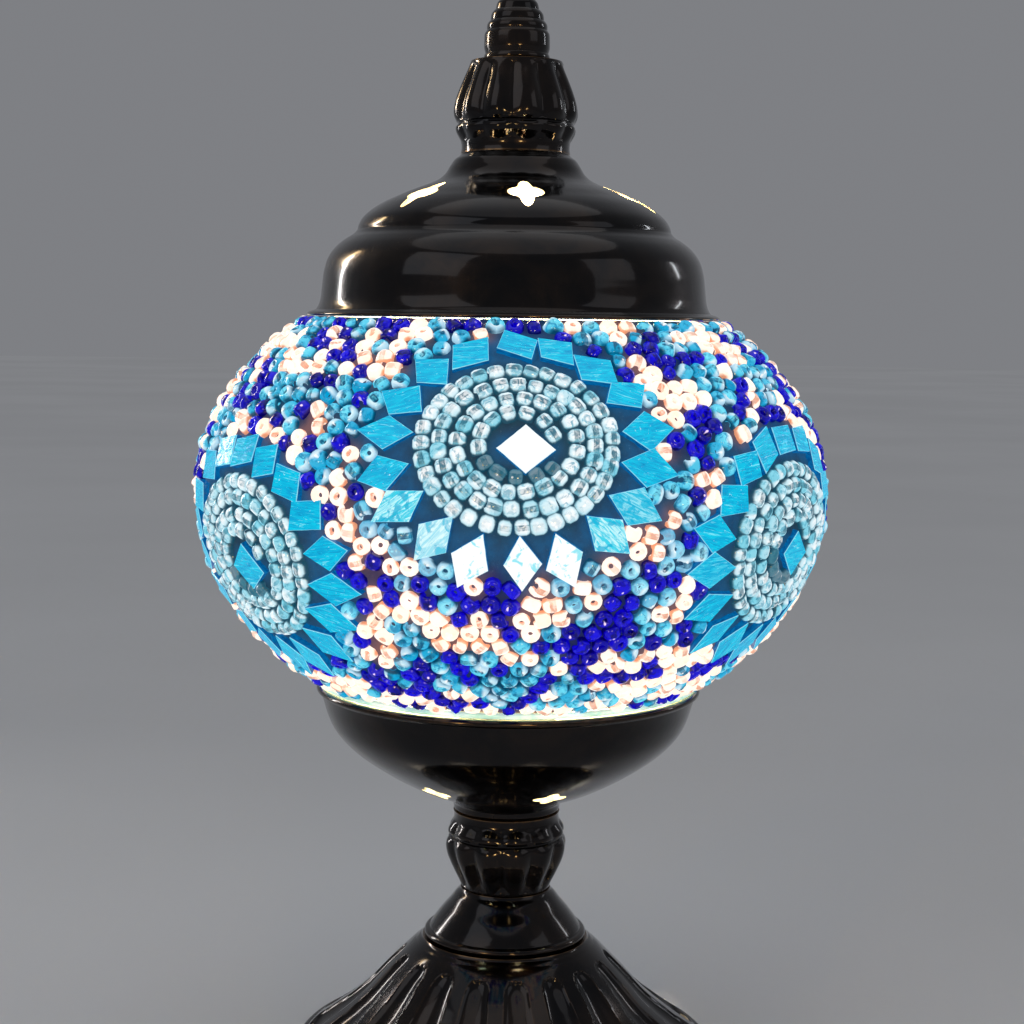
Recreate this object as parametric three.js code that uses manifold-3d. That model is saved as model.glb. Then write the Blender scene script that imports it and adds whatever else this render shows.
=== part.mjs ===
// A mosaic glass table lamp: a beaded glass globe between an aged bronze cup and cap, on a turned
// stem and a fluted foot. Millimetres, +Z up, origin at the centre of the felt underside.
// Azimuths are measured from the front of the lamp (-Y) towards +X.
import * as THREE from "three";
import { mergeVertices } from "three/addons/utils/BufferGeometryUtils.js";
import Module from "manifold-3d";

const wasm = await Module();
wasm.setup();

// ---- driving dimensions ------------------------------------------------------------------------
const GAP = 0.3; // free space kept between neighbouring solids

// levels, from the table up
const FELT_THICK = 1.6;
const PLATE_THICK = 1.6;
const FOOT_TOP = 40.7;
const COLLAR_TOP = 54.6;
const STEM_KNOP_TOP = 76.6;
const CUP_RIM = 112.8;
const GASKET_THICK = 1.1;
const GLOBE_CENTRE = 166.3;
const CAP_RIM = 214;
const CAP_TOP = 258;
const UPPER_KNOP_TOP = 282.9;
const FINIAL_TOP = 306;

// foot
const FOOT_R = 59;
const FOOT_WALL = 2.6;
const FLUTES = 18;
const FLUTE_TURN = -3.6; // degrees; the foot is not screwed on with a ridge exactly in front
const FLUTE_DEPTH = 1.1;
const PLATE_R = 55;
const INLET_Z = 5.3;
const INLET_BORE_R = 3;
const INLET_BODY_R = 3.5;
const INLET_HOLE_R = 3.8;
const INLET_FLANGE_R = 4.7;

// central tube and stem
const TUBE_R = 4.8;
const TUBE_BORE_R = 3.6;
const TUBE_BOTTOM = 28;
const TUBE_TOP = 92.7;
const TUBE_HOLE_R = 5.3; // clearance hole in every part threaded on the tube
const KNOP_LOBES = 12;
const KNOP_LOBE_DEPTH = 0.45;

// globe: an oval of revolution, a little deeper below its widest line than above it
const GLOBE_R = 86.6;
const GLOBE_RISE = 63.5;
const GLOBE_DROP = 66;
const MOSAIC_THICK = 3.9;
const GLASS_THICK = 2.6;
const GLASS_BOTTOM = 113;
const GLASS_TOP = 213.8;

// sheet metal of cup and cap, and the four-lobed piercings in both: punched by hand, so not quite evenly.
// stretch lengthens a piercing along the slope of the sheet.
const SHEET = 1.4;
const PIERCING_MEAN_R = 4.2;
const PIERCING_LOBE = 0.6;
const CAP_PIERCING = { r: 32.4, z: 246.1, tilt: 28.6, stretch: 1.7 };
const CAP_PIERCING_AZIMUTHS = [5, 72, 127, 185, 247, 312];
const CUP_PIERCING = { r: 30.6, z: 86.9, tilt: 149.8, stretch: 1 };
const CUP_PIERCING_AZIMUTHS = [22, 82, 142, 202, 262, 322];

// E14 screw thread shared by the bulb and the lampholder
const THREAD_PITCH = 2.822;
const THREAD_MEAN_R = 6.545;
const THREAD_DEPTH = 0.4; // half of the difference between major and minor radius
const THREAD_PLAY = 0.45;
const SHELL_WALL = 0.45;

// lampholder and bulb levels
const CUP_FLOOR = 80.4;
const CORE_BOTTOM = 87.3;
const CORE_TOP = 99;
const SOCKET_BOTTOM = 106;
const SOCKET_TOP = 123.5;
const SLEEVE_R = 13.5;
const SLEEVE_TOP = 124.5;
const TIP_BOTTOM = 104.6;
const TIP_TOP = 106.3;
const BULB_SHELL_BOTTOM = 109.5;
const BULB_SHELL_TOP = 124.5;
const BULB_R = 22.5;
const BULB_CENTRE = 161.5;
const BULB_GLASS = 0.8;
const FILAMENTS = 4;

// facets
const ROUND = 28;
const SMALL_ROUND = 16;

// ---- materials ---------------------------------------------------------------------------------
const finish = (color, roughness, metalness) =>
  new THREE.MeshStandardMaterial({ color, roughness, metalness });
const bronze = () => finish(0x2a211c, 0.32, 0.9);
const steel = () => finish(0x9a9a98, 0.4, 0.9);
const brass = () => finish(0xb08d4a, 0.35, 0.95);
const blackPlastic = () => finish(0x161616, 0.55, 0);
const rubber = () => finish(0x1b1b1c, 0.8, 0);
const glass = () => finish(0xdff3f6, 0.08, 0);

// ---- geometry helpers --------------------------------------------------------------------------
const lamp = new THREE.Group();

function add(name, geometry, material) {
  const mesh = new THREE.Mesh(geometry, material);
  mesh.name = name;
  lamp.add(mesh);
}

// A solid of revolution about +Z from [radius, height] points. wave(azimuth, height, radius) gives
// an extra radius, for flutes, lobes and threads.
function turned(outline, facets, wave) {
  const points = outline.map(([r, z]) => new THREE.Vector2(r, z));
  const geometry = new THREE.LatheGeometry(points, facets).rotateX(Math.PI / 2);
  if (!wave) return geometry;
  const position = geometry.getAttribute("position");
  for (let i = 0; i < position.count; i++) {
    const [x, y, z] = [position.getX(i), position.getY(i), position.getZ(i)];
    const r = Math.hypot(x, y);
    if (r === 0) continue;
    const azimuth = Math.atan2(x, -y);
    const scale = 1 + wave(azimuth, z, r) / r;
    position.setXY(i, x * scale, y * scale);
  }
  return geometry;
}

// A ring of rectangular section.
function ring(innerR, outerR, low, high, facets = ROUND) {
  return turned([[innerR, low], [outerR, low], [outerR, high], [innerR, high], [innerR, low]], facets);
}

// A solid disc or cylinder.
function disc(radius, low, high, facets = ROUND) {
  return turned([[0, low], [radius, low], [radius, high], [0, high]], facets);
}

// Outer points upwards, then inner points downwards, closed on themselves.
const closed = (outer, inner) => [...outer, ...inner, outer[0]];

// A hexagon nut with a round hole.
function nut(acrossFlats, holeR, low, high) {
  const outline = new THREE.Shape();
  const corner = acrossFlats / Math.sqrt(3);
  for (let i = 0; i < 6; i++) {
    const a = (i * Math.PI) / 3;
    const [x, y] = [corner * Math.cos(a), corner * Math.sin(a)];
    if (i === 0) outline.moveTo(x, y);
    else outline.lineTo(x, y);
  }
  outline.holes.push(new THREE.Path().absarc(0, 0, holeR, 0, 2 * Math.PI, true));
  const options = { depth: high - low, bevelEnabled: false, curveSegments: 9 };
  return new THREE.ExtrudeGeometry(outline, options).translate(0, 0, low);
}

// An outline in the XZ plane, pushed out to both sides of it along Y.
function slab(corners, width) {
  const outline = new THREE.Shape(corners.map(([x, z]) => new THREE.Vector2(x, z)));
  return new THREE.ExtrudeGeometry(outline, { depth: width, bevelEnabled: false })
    .rotateX(Math.PI / 2)
    .translate(0, width / 2, 0);
}

function solidOf(geometry) {
  const bare = geometry.clone();
  bare.deleteAttribute("normal");
  bare.deleteAttribute("uv");
  const merged = mergeVertices(bare, 1e-4);
  const vertProperties = new Float32Array(merged.getAttribute("position").array);
  const triVerts = new Uint32Array(merged.index.array);
  return new wasm.Manifold(new wasm.Mesh({ numProp: 3, vertProperties, triVerts }));
}

function geometryOf(solid) {
  const mesh = solid.getMesh();
  const geometry = new THREE.BufferGeometry();
  geometry.setAttribute("position", new THREE.BufferAttribute(mesh.vertProperties, 3));
  geometry.setIndex(new THREE.BufferAttribute(mesh.triVerts, 1));
  geometry.computeVertexNormals();
  return geometry;
}

function cut(geometry, cutters) {
  let solid = solidOf(geometry);
  for (const cutter of cutters) solid = solid.subtract(solidOf(cutter));
  return geometryOf(solid);
}

// One four-lobed piercing, as a prism through the sheet at right angles to it.
function piercing(place, azimuth) {
  const outline = new THREE.Shape();
  const corners = 16;
  for (let i = 0; i < corners; i++) {
    const a = (2 * Math.PI * i) / corners;
    const r = PIERCING_MEAN_R + PIERCING_LOBE * Math.cos(4 * a);
    if (i === 0) outline.moveTo(r, 0);
    else outline.lineTo(r * Math.cos(a), r * Math.sin(a));
  }
  const depth = 10;
  return new THREE.ExtrudeGeometry(outline, { depth, bevelEnabled: false })
    .translate(0, 0, -depth / 2)
    .scale(1, place.stretch, 1)
    .rotateX(THREE.MathUtils.degToRad(place.tilt))
    .translate(0, -place.r, place.z)
    .rotateZ(THREE.MathUtils.degToRad(azimuth));
}

const piercings = (place, azimuths) => azimuths.map((azimuth) => piercing(place, azimuth));

// ---- foot --------------------------------------------------------------------------------------
const plateLow = FELT_THICK + GAP;
const plateHigh = plateLow + PLATE_THICK;
add("felt_pad", disc(PLATE_R, 0, FELT_THICK), finish(0x1d2a22, 0.95, 0));
add("base_plate", disc(PLATE_R, plateLow, plateHigh), steel());

const FLUTE_LOW = 13;
const FLUTE_HIGH = 38;
const FLANK_R = 53.2; // where the inner face of the foot starts to climb
const FLANK_Z = 10.3;
const FLANK_SLOPE = 0.888;
const FLANK_MARGIN = 0.4;

// The flutes are on the outer face of the flank only, above the line of its inner face.
function footFlutes(azimuth, z, r) {
  const innerZ = FLANK_Z + (FLANK_R - r) * FLANK_SLOPE;
  const onOuterFace = z > FLUTE_LOW && z < FLUTE_HIGH && z > innerZ + FLANK_MARGIN;
  return onOuterFace ? FLUTE_DEPTH * Math.cos(FLUTES * azimuth) : 0;
}

const footRim = 0.4;
const footInnerR = FOOT_R - FOOT_WALL;
const footCeiling = FOOT_TOP - 3.3;
const footOuter = [
  [FOOT_R, footRim], [FOOT_R, 9.7], [58.2, 10.4], [55.4, 11.9], [49.5, 16], [44.3, 20], [39.8, 24],
  [36.1, 28], [32.4, 32], [28.4, 36], [24.5, 39.4], [23.2, FOOT_TOP], [TUBE_HOLE_R, FOOT_TOP],
];
const footInner = [
  [TUBE_HOLE_R, footCeiling], [22.3, footCeiling], [26.3, 34.2], [30.3, 30.2], [34.1, 26.1],
  [37.9, 22], [42.5, 18], [47.8, 14.1], [53.2, 10.3], [55.6, 9.2], [footInnerR, 8.4],
  [footInnerR, footRim],
];
const foot = turned(closed(footOuter, footInner), 2 * FLUTES, footFlutes)
  .rotateZ(THREE.MathUtils.degToRad(FLUTE_TURN));
const alongY = (geometry) => geometry.rotateX(-Math.PI / 2).translate(0, 0, INLET_Z);
const inletHole = alongY(disc(INLET_HOLE_R, PLATE_R, FOOT_R + 5, SMALL_ROUND));
add("base_foot", cut(foot, [inletHole]), bronze());

const flangeFace = FOOT_R + GAP;
const grommetEnd = PLATE_R + 0.6;
const grommet = [
  [INLET_BORE_R, grommetEnd], [INLET_BODY_R, grommetEnd], [INLET_BODY_R, flangeFace],
  [INLET_FLANGE_R, flangeFace], [INLET_FLANGE_R, flangeFace + 0.7],
  [INLET_FLANGE_R - 0.8, flangeFace + 1.5], [INLET_BORE_R, flangeFace + 1.5],
  [INLET_BORE_R, grommetEnd],
];
add("cable_grommet", alongY(turned(grommet, SMALL_ROUND)), rubber());

// two-pole terminal block on the base plate, between the inlet and the tube
const BLOCK_Y = 35;
const BLOCK_WIDTH = 16;
const blockLow = plateHigh + GAP;
const POLE_X = 5;
const blockOutline = [
  [-9, 0], [9, 0], [9, 7.5], [7.5, 10], [2.5, 10], [1.4, 6], [-1.4, 6], [-2.5, 10], [-7.5, 10], [-9, 7.5],
].map(([x, z]) => [x, z + blockLow]);
const screwPlaces = [
  [-POLE_X, BLOCK_Y - 4], [POLE_X, BLOCK_Y - 4], [-POLE_X, BLOCK_Y + 4], [POLE_X, BLOCK_Y + 4],
];
const screwHoles = screwPlaces.map(([x, y]) =>
  disc(1.95, blockLow + 6, blockLow + 12, SMALL_ROUND).translate(x, y, 0));
const block = slab(blockOutline, BLOCK_WIDTH).translate(0, BLOCK_Y, 0);
add("terminal_block", cut(block, screwHoles), finish(0xe8e4d8, 0.6, 0));
screwPlaces.forEach(([x, y], i) => {
  const low = blockLow + 6 + GAP;
  const screw = disc(1.6, low, low + 5, SMALL_ROUND).translate(x, y, 0);
  add(`terminal_screw_${i + 1}`, screw, steel());
});

// ---- stem --------------------------------------------------------------------------------------
const washerHigh = footCeiling - GAP;
const washerLow = washerHigh - 1.4;
add("base_washer", ring(TUBE_HOLE_R, 12, washerLow, washerHigh), steel());
add("base_nut", nut(15, TUBE_HOLE_R, washerLow - GAP - 4.5, washerLow - GAP), steel());
add("threaded_tube", ring(TUBE_BORE_R, TUBE_R, TUBE_BOTTOM, TUBE_TOP, SMALL_ROUND), steel());

const collarLow = FOOT_TOP + GAP;
const collarOuter = [
  [22.3, collarLow], [22.3, 42.8], [21.2, 44.4], [18.1, 47.6], [15, 51], [12.6, COLLAR_TOP],
];
const collarInner = [[TUBE_HOLE_R, COLLAR_TOP], [TUBE_HOLE_R, collarLow]];
add("stem_collar", turned(closed(collarOuter, collarInner), ROUND), bronze());

const lobes = (azimuth, z, r) =>
  r > 12.7 ? KNOP_LOBE_DEPTH * Math.cos(KNOP_LOBES * azimuth) : 0;
const knopLow = COLLAR_TOP + GAP;
const knopOuter = [
  [12.6, knopLow], [13.2, 59], [15.5, 65], [16.9, 69.5], [17, 72], [16, 75], [14.6, STEM_KNOP_TOP],
];
const knopInner = [[TUBE_HOLE_R, STEM_KNOP_TOP], [TUBE_HOLE_R, knopLow]];
add("stem_knop", turned(closed(knopOuter, knopInner), 2 * KNOP_LOBES, lobes), bronze());

// ---- cup ---------------------------------------------------------------------------------------
const cupLow = STEM_KNOP_TOP + GAP;
const cupOuter = [
  [14.4, cupLow], [14.7, 78.8], [20.2, 81.9], [27.1, 84.8], [37.9, 91.1], [46.2, 97.9],
  [50.3, 104.8], [52.8, CUP_RIM],
];
const cupInner = [
  [52.8 - SHEET, CUP_RIM], [48.9, 105.3], [45, 98.8], [37, 92.3], [26.4, 86.1], [19.4, 83.1],
  [15.4, CUP_FLOOR], [TUBE_HOLE_R, CUP_FLOOR], [TUBE_HOLE_R, cupLow],
];
const cup = turned(closed(cupOuter, cupInner), ROUND);
add("lower_cup", cut(cup, piercings(CUP_PIERCING, CUP_PIERCING_AZIMUTHS)), bronze());

const gasketLow = CUP_RIM + GAP;
const gasketHigh = gasketLow + GASKET_THICK;
add("rim_gasket", ring(49.4, 52.4, gasketLow, gasketHigh), finish(0xcfe3da, 0.4, 0));

const cupWasherHigh = CUP_FLOOR + GAP + 1.5;
add("cup_washer", ring(TUBE_HOLE_R, 11, CUP_FLOOR + GAP, cupWasherHigh, 24), steel());
add("cup_nut", nut(15, TUBE_HOLE_R, cupWasherHigh + GAP, CORE_BOTTOM - GAP), steel());

// ---- lampholder --------------------------------------------------------------------------------
const WIRE_HOLE_R = 3.6;
const coreOuter = [[11.5, CORE_BOTTOM], [13.2, CORE_BOTTOM + 2], [13.2, CORE_TOP]];
const coreInner = [
  [WIRE_HOLE_R, CORE_TOP], [WIRE_HOLE_R, TUBE_TOP + GAP], [TUBE_HOLE_R, TUBE_TOP + GAP],
  [TUBE_HOLE_R, CORE_BOTTOM],
];
add("holder_core", turned(closed(coreOuter, coreInner), 24), blackPlastic());

const sleeveLow = CORE_TOP + GAP;
const sleeveOuter = [[SLEEVE_R, sleeveLow], [SLEEVE_R, SLEEVE_TOP - 1], [SLEEVE_R - 1, SLEEVE_TOP]];
const sleeveInner = [
  [8.7, SLEEVE_TOP], [8.7, SLEEVE_TOP - 2.2], [SLEEVE_R - 1.3, SLEEVE_TOP - 3.4],
  [SLEEVE_R - 1.3, sleeveLow],
];
add("holder_sleeve", turned(closed(sleeveOuter, sleeveInner), 24), blackPlastic());

// A threaded sheet-metal shell. The thread fades out over the last row at either end.
function threadedShell(innerR, low, high) {
  const rows = Math.round((high - low) / (THREAD_PITCH / 4));
  const heights = Array.from({ length: rows + 1 }, (_, i) => low + ((high - low) * i) / rows);
  const outer = heights.map((z) => [innerR + SHELL_WALL, z]);
  const inner = heights.map((z) => [innerR, z]).reverse();
  const edge = THREAD_PITCH / 2;
  const helix = (azimuth, z) => {
    const fade = Math.min(1, Math.max(0, Math.min(z - low, high - z) / edge));
    return fade * THREAD_DEPTH * Math.cos((2 * Math.PI * z) / THREAD_PITCH - azimuth);
  };
  return turned(closed(outer, inner), SMALL_ROUND, helix);
}

const socketInnerR = THREAD_MEAN_R + THREAD_PLAY;
add("holder_shell", threadedShell(socketInnerR, SOCKET_BOTTOM, SOCKET_TOP), brass());

const stripLow = CORE_TOP + GAP;
const STRIP = 0.5;
const tongueTop = TIP_BOTTOM - GAP;
const tongue = [
  [-7, stripLow], [-0.7, stripLow], [2.2, tongueTop - STRIP], [2.2, tongueTop], [-1.2, tongueTop],
  [-1.2, tongueTop - STRIP], [1.3, tongueTop - STRIP], [-1.1, stripLow + STRIP], [-7, stripLow + STRIP],
];
add("centre_contact", slab(tongue, 3.6), brass());
const sideStrip = [
  [0.6, stripLow], [7.4, stripLow], [7.4, SOCKET_BOTTOM - GAP], [6.9, SOCKET_BOTTOM - GAP],
  [6.9, stripLow + STRIP], [0.6, stripLow + STRIP],
];
add("side_contact", slab(sideStrip, 3.6), brass());

// the two inner wires: from the terminal block up the tube to the contacts
const WIRE_R = 0.9;
const WIRE_X = 1.5;
function wire(side) {
  const poleZ = blockLow + 3.5;
  const route = [
    [POLE_X, BLOCK_Y - BLOCK_WIDTH / 2 - GAP, poleZ], [POLE_X - 0.5, 20, poleZ], [3.2, 10, 10.5],
    [1.8, 3, 17], [WIRE_X, 0, 26], [WIRE_X, 0, 40], [WIRE_X, 0, 70], [WIRE_X, 0, CORE_TOP],
  ];
  const path = new THREE.CatmullRomCurve3(route.map(([x, y, z]) => new THREE.Vector3(side * x, y, z)));
  const section = new THREE.Shape();
  const sides = 8;
  for (let i = 0; i < sides; i++) {
    const a = (2 * Math.PI * i) / sides;
    if (i === 0) section.moveTo(WIRE_R, 0);
    else section.lineTo(WIRE_R * Math.cos(a), WIRE_R * Math.sin(a));
  }
  return new THREE.ExtrudeGeometry(section, { steps: 34, extrudePath: path, bevelEnabled: false });
}
add("wire_live", wire(-1), finish(0x6b3b1e, 0.5, 0));
add("wire_neutral", wire(1), finish(0x1f4fa0, 0.5, 0));

// ---- globe -------------------------------------------------------------------------------------
// A point of the globe's section, a depth below the outer surface; latitude in radians.
function globePoint(latitude, depth) {
  const rise = latitude > 0 ? GLOBE_RISE : GLOBE_DROP;
  const [x, z] = [GLOBE_R * Math.cos(latitude), rise * Math.sin(latitude)];
  const [nx, nz] = [Math.cos(latitude) / GLOBE_R, Math.sin(latitude) / rise];
  const n = Math.hypot(nx, nz);
  return [x - (depth * nx) / n, GLOBE_CENTRE + z - (depth * nz) / n];
}

// Latitude at which the section at a depth reaches a height, by halving.
function latitudeAt(height, depth) {
  let [low, high] = [-1.5, 1.5];
  for (let i = 0; i < 40; i++) {
    const middle = (low + high) / 2;
    if (globePoint(middle, depth)[1] < height) low = middle;
    else high = middle;
  }
  return low;
}

function globeArc(depth, bottom, top, steps) {
  const [low, high] = [latitudeAt(bottom, depth), latitudeAt(top, depth)];
  return Array.from({ length: steps + 1 }, (_, i) => globePoint(low + ((high - low) * i) / steps, depth));
}

function globeShell(outerDepth, innerDepth, bottom, top, steps) {
  const outer = globeArc(outerDepth, bottom, top, steps);
  const inner = globeArc(innerDepth, bottom, top, steps).reverse();
  return turned(closed(outer, inner), ROUND);
}

const mosaicLow = gasketHigh + GAP;
const mosaicHigh = CAP_RIM - 0.4;
const glassDepth = MOSAIC_THICK + GAP;
add("mosaic_skin", globeShell(0, MOSAIC_THICK, mosaicLow, mosaicHigh, 9), finish(0x36b7dc, 0.3, 0));
const glassShell = globeShell(glassDepth, glassDepth + GLASS_THICK, GLASS_BOTTOM, GLASS_TOP, 9);
add("glass_globe", glassShell, glass());

// ---- bulb --------------------------------------------------------------------------------------
const tipOutline = [
  [0, TIP_BOTTOM], [1.4, TIP_BOTTOM + 0.3], [2.4, TIP_BOTTOM + 1.1], [2.4, TIP_TOP], [0, TIP_TOP],
];
add("bulb_contact_tip", turned(tipOutline, SMALL_ROUND), steel());

const bulbInsulatorLow = TIP_TOP + GAP;
const bulbInsulatorHigh = BULB_SHELL_BOTTOM - GAP;
const bulbInsulator = [
  [0, bulbInsulatorLow], [2.9, bulbInsulatorLow], [5.9, bulbInsulatorHigh], [0, bulbInsulatorHigh],
];
add("bulb_insulator", turned(bulbInsulator, SMALL_ROUND), finish(0x101014, 0.15, 0));

const bulbShellInnerR = THREAD_MEAN_R - SHELL_WALL;
add("bulb_screw_shell", threadedShell(bulbShellInnerR, BULB_SHELL_BOTTOM, BULB_SHELL_TOP), brass());

// pear-shaped glass: a neck that runs into a sphere, open at the bottom of the neck
function envelopeSide(inset) {
  const neckLow = BULB_SHELL_TOP + GAP;
  const neck = [[6.3, neckLow], [6.6, 127.5], [8.3, 132.5], [11.6, 138.5]];
  const join = THREE.MathUtils.degToRad(-44);
  const steps = 7;
  const side = neck.map(([r, z]) => [r - inset, z]);
  for (let i = 0; i <= steps; i++) {
    const a = join + ((Math.PI / 2 - join) * i) / steps;
    const r = i === steps ? 0 : (BULB_R - inset) * Math.cos(a);
    side.push([r, BULB_CENTRE + (BULB_R - inset) * Math.sin(a)]);
  }
  return side;
}
const envelope = [...envelopeSide(BULB_GLASS).reverse(), ...envelopeSide(0)];
add("bulb_envelope", turned(envelope, 20), glass());

const stemOutline = [
  [0, 125.2], [5, 125.2], [5, 126.2], [2.2, 130], [1.6, 147], [3.2, 148.4], [3.2, 149.4], [0, 149.4],
];
add("bulb_stem", turned(stemOutline, SMALL_ROUND), glass());
for (let i = 0; i < FILAMENTS; i++) {
  const lean = THREE.MathUtils.degToRad(11);
  const rod = new THREE.CylinderGeometry(0.9, 0.9, 24, 8)
    .rotateX(Math.PI / 2)
    .translate(0, 0, 12)
    .rotateX(lean)
    .translate(0, -2.2, 149.4 + GAP + 0.2)
    .rotateZ((2 * Math.PI * (i + 0.5)) / FILAMENTS);
  add(`bulb_filament_${i + 1}`, rod, finish(0xffc766, 0.6, 0));
}

// ---- cap, upper knop and finial ----------------------------------------------------------------
const STUD_R = 2.9;
const STUD_HOLE_R = 3.3;
const capInnerTop = CAP_TOP - SHEET;
const capOuter = [
  [56.2, CAP_RIM], [53.9, 215.4], [52.6, 218.4], [51.7, 226.5], [50.1, 230.6], [47.3, 233.6],
  [43.7, 236.3], [41.6, 239.8], [37.6, 243.3], [31.9, 246.4], [20.4, 251.1], [17.9, 254.6],
  [15, CAP_TOP], [STUD_HOLE_R, CAP_TOP],
];
const capInner = [
  [STUD_HOLE_R, capInnerTop], [14.2, capInnerTop], [16.7, 253.7], [19.7, 249.8], [30.9, 245.2],
  [40.2, 239.1], [42.6, 235.2], [48.8, 229.8], [50.3, 225], [51.1, 217.6], [53.6, CAP_RIM],
];
const cap = turned(closed(capOuter, capInner), ROUND);
add("cap_dome", cut(cap, piercings(CAP_PIERCING, CAP_PIERCING_AZIMUTHS)), bronze());

const capWasherHigh = capInnerTop - GAP;
const capWasherLow = capWasherHigh - 1.2;
const capNutHigh = capWasherLow - GAP;
const capNutLow = capNutHigh - 4;
add("cap_washer", ring(STUD_HOLE_R, 9, capWasherLow, capWasherHigh, 24), steel());
add("cap_nut", nut(10, STUD_HOLE_R, capNutLow, capNutHigh), steel());

const studTop = 293;
add("cap_stud", disc(STUD_R, capNutLow - 1.5, studTop, SMALL_ROUND), steel());

const upperLow = CAP_TOP + GAP;
const upperOuter = [
  [15, upperLow], [14.8, 261.3], [14.9, 263.5], [16.3, 265.6], [17, 269.5], [15.7, 275],
  [13.9, 280.3], [12.2, UPPER_KNOP_TOP],
];
const upperInner = [[STUD_HOLE_R, UPPER_KNOP_TOP], [STUD_HOLE_R, upperLow]];
add("upper_knop", turned(closed(upperOuter, upperInner), 2 * KNOP_LOBES, lobes), bronze());

const finialLow = UPPER_KNOP_TOP + GAP;
const finial = [
  [0, studTop + GAP], [STUD_HOLE_R, studTop + GAP], [STUD_HOLE_R, finialLow], [8.9, finialLow],
  [8.2, 284.7], [8.9, 286.2], [8.9, 291], [7.5, 295], [4.5, 299.3], [1.5, 304.5], [0, FINIAL_TOP],
];
add("finial", turned(finial, 24), bronze());

export default lamp;
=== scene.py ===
"""Mosaic glass table lamp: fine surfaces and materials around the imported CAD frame.

Metres, +Z up, in the frame's own coordinates. Azimuths are measured from the front of the lamp (-Y)
towards +X. Outlines are written in millimetres and scaled once, by MM.
"""

import math

import bpy
import numpy as np
from mathutils import Matrix, Vector


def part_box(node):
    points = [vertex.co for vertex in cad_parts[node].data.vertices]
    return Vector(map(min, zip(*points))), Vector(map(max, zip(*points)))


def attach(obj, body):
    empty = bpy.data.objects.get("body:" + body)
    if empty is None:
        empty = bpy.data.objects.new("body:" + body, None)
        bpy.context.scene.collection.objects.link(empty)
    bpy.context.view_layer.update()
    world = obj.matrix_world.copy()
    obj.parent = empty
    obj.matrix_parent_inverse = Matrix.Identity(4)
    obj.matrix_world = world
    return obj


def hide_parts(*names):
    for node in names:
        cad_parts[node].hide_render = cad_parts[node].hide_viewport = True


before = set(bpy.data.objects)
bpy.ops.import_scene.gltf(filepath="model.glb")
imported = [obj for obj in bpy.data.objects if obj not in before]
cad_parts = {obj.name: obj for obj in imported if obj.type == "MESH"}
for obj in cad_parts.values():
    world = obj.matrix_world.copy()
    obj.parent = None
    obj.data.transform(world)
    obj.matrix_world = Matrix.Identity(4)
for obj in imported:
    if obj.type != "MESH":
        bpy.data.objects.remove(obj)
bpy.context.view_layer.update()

MM = 0.001
TURN = 2 * math.pi
random = np.random.default_rng(41)


def level(node, end):
    """Height in millimetres of a CAD node's bottom (0) or top (1)."""
    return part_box(node)[end].z / MM


# ---- camera ------------------------------------------------------------------------------------
def placed(name, data):
    """An object for a mesh, light or camera, put in the scene."""
    made = bpy.data.objects.new(name, data)
    bpy.context.scene.collection.objects.link(made)
    return made


def make_camera():
    data = bpy.data.cameras.new("camera")
    data.lens = 67.08
    camera = placed("camera", data)
    tilt = Matrix.Rotation(math.pi / 2 - math.radians(5.806), 4, "X")
    roll = Matrix.Rotation(math.radians(0.8), 4, "Z")
    camera.matrix_world = Matrix.Translation((0.0004, -0.526, 0.214)) @ tilt @ roll
    bpy.context.scene.camera = camera


make_camera()


# ---- materials ---------------------------------------------------------------------------------
def srgb(red, green, blue):
    """A display colour, 0 to 255, as linear RGBA."""
    linear = []
    for value in (red, green, blue):
        share = value / 255
        linear.append(share / 12.92 if share <= 0.04045 else ((share + 0.055) / 1.055) ** 2.4)
    return (*linear, 1.0)


def put(socket, value):
    """Links an output to a socket, or sets the socket's own value."""
    if isinstance(value, bpy.types.NodeSocket):
        socket.id_data.links.new(value, socket)
    else:
        socket.default_value = value


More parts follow.
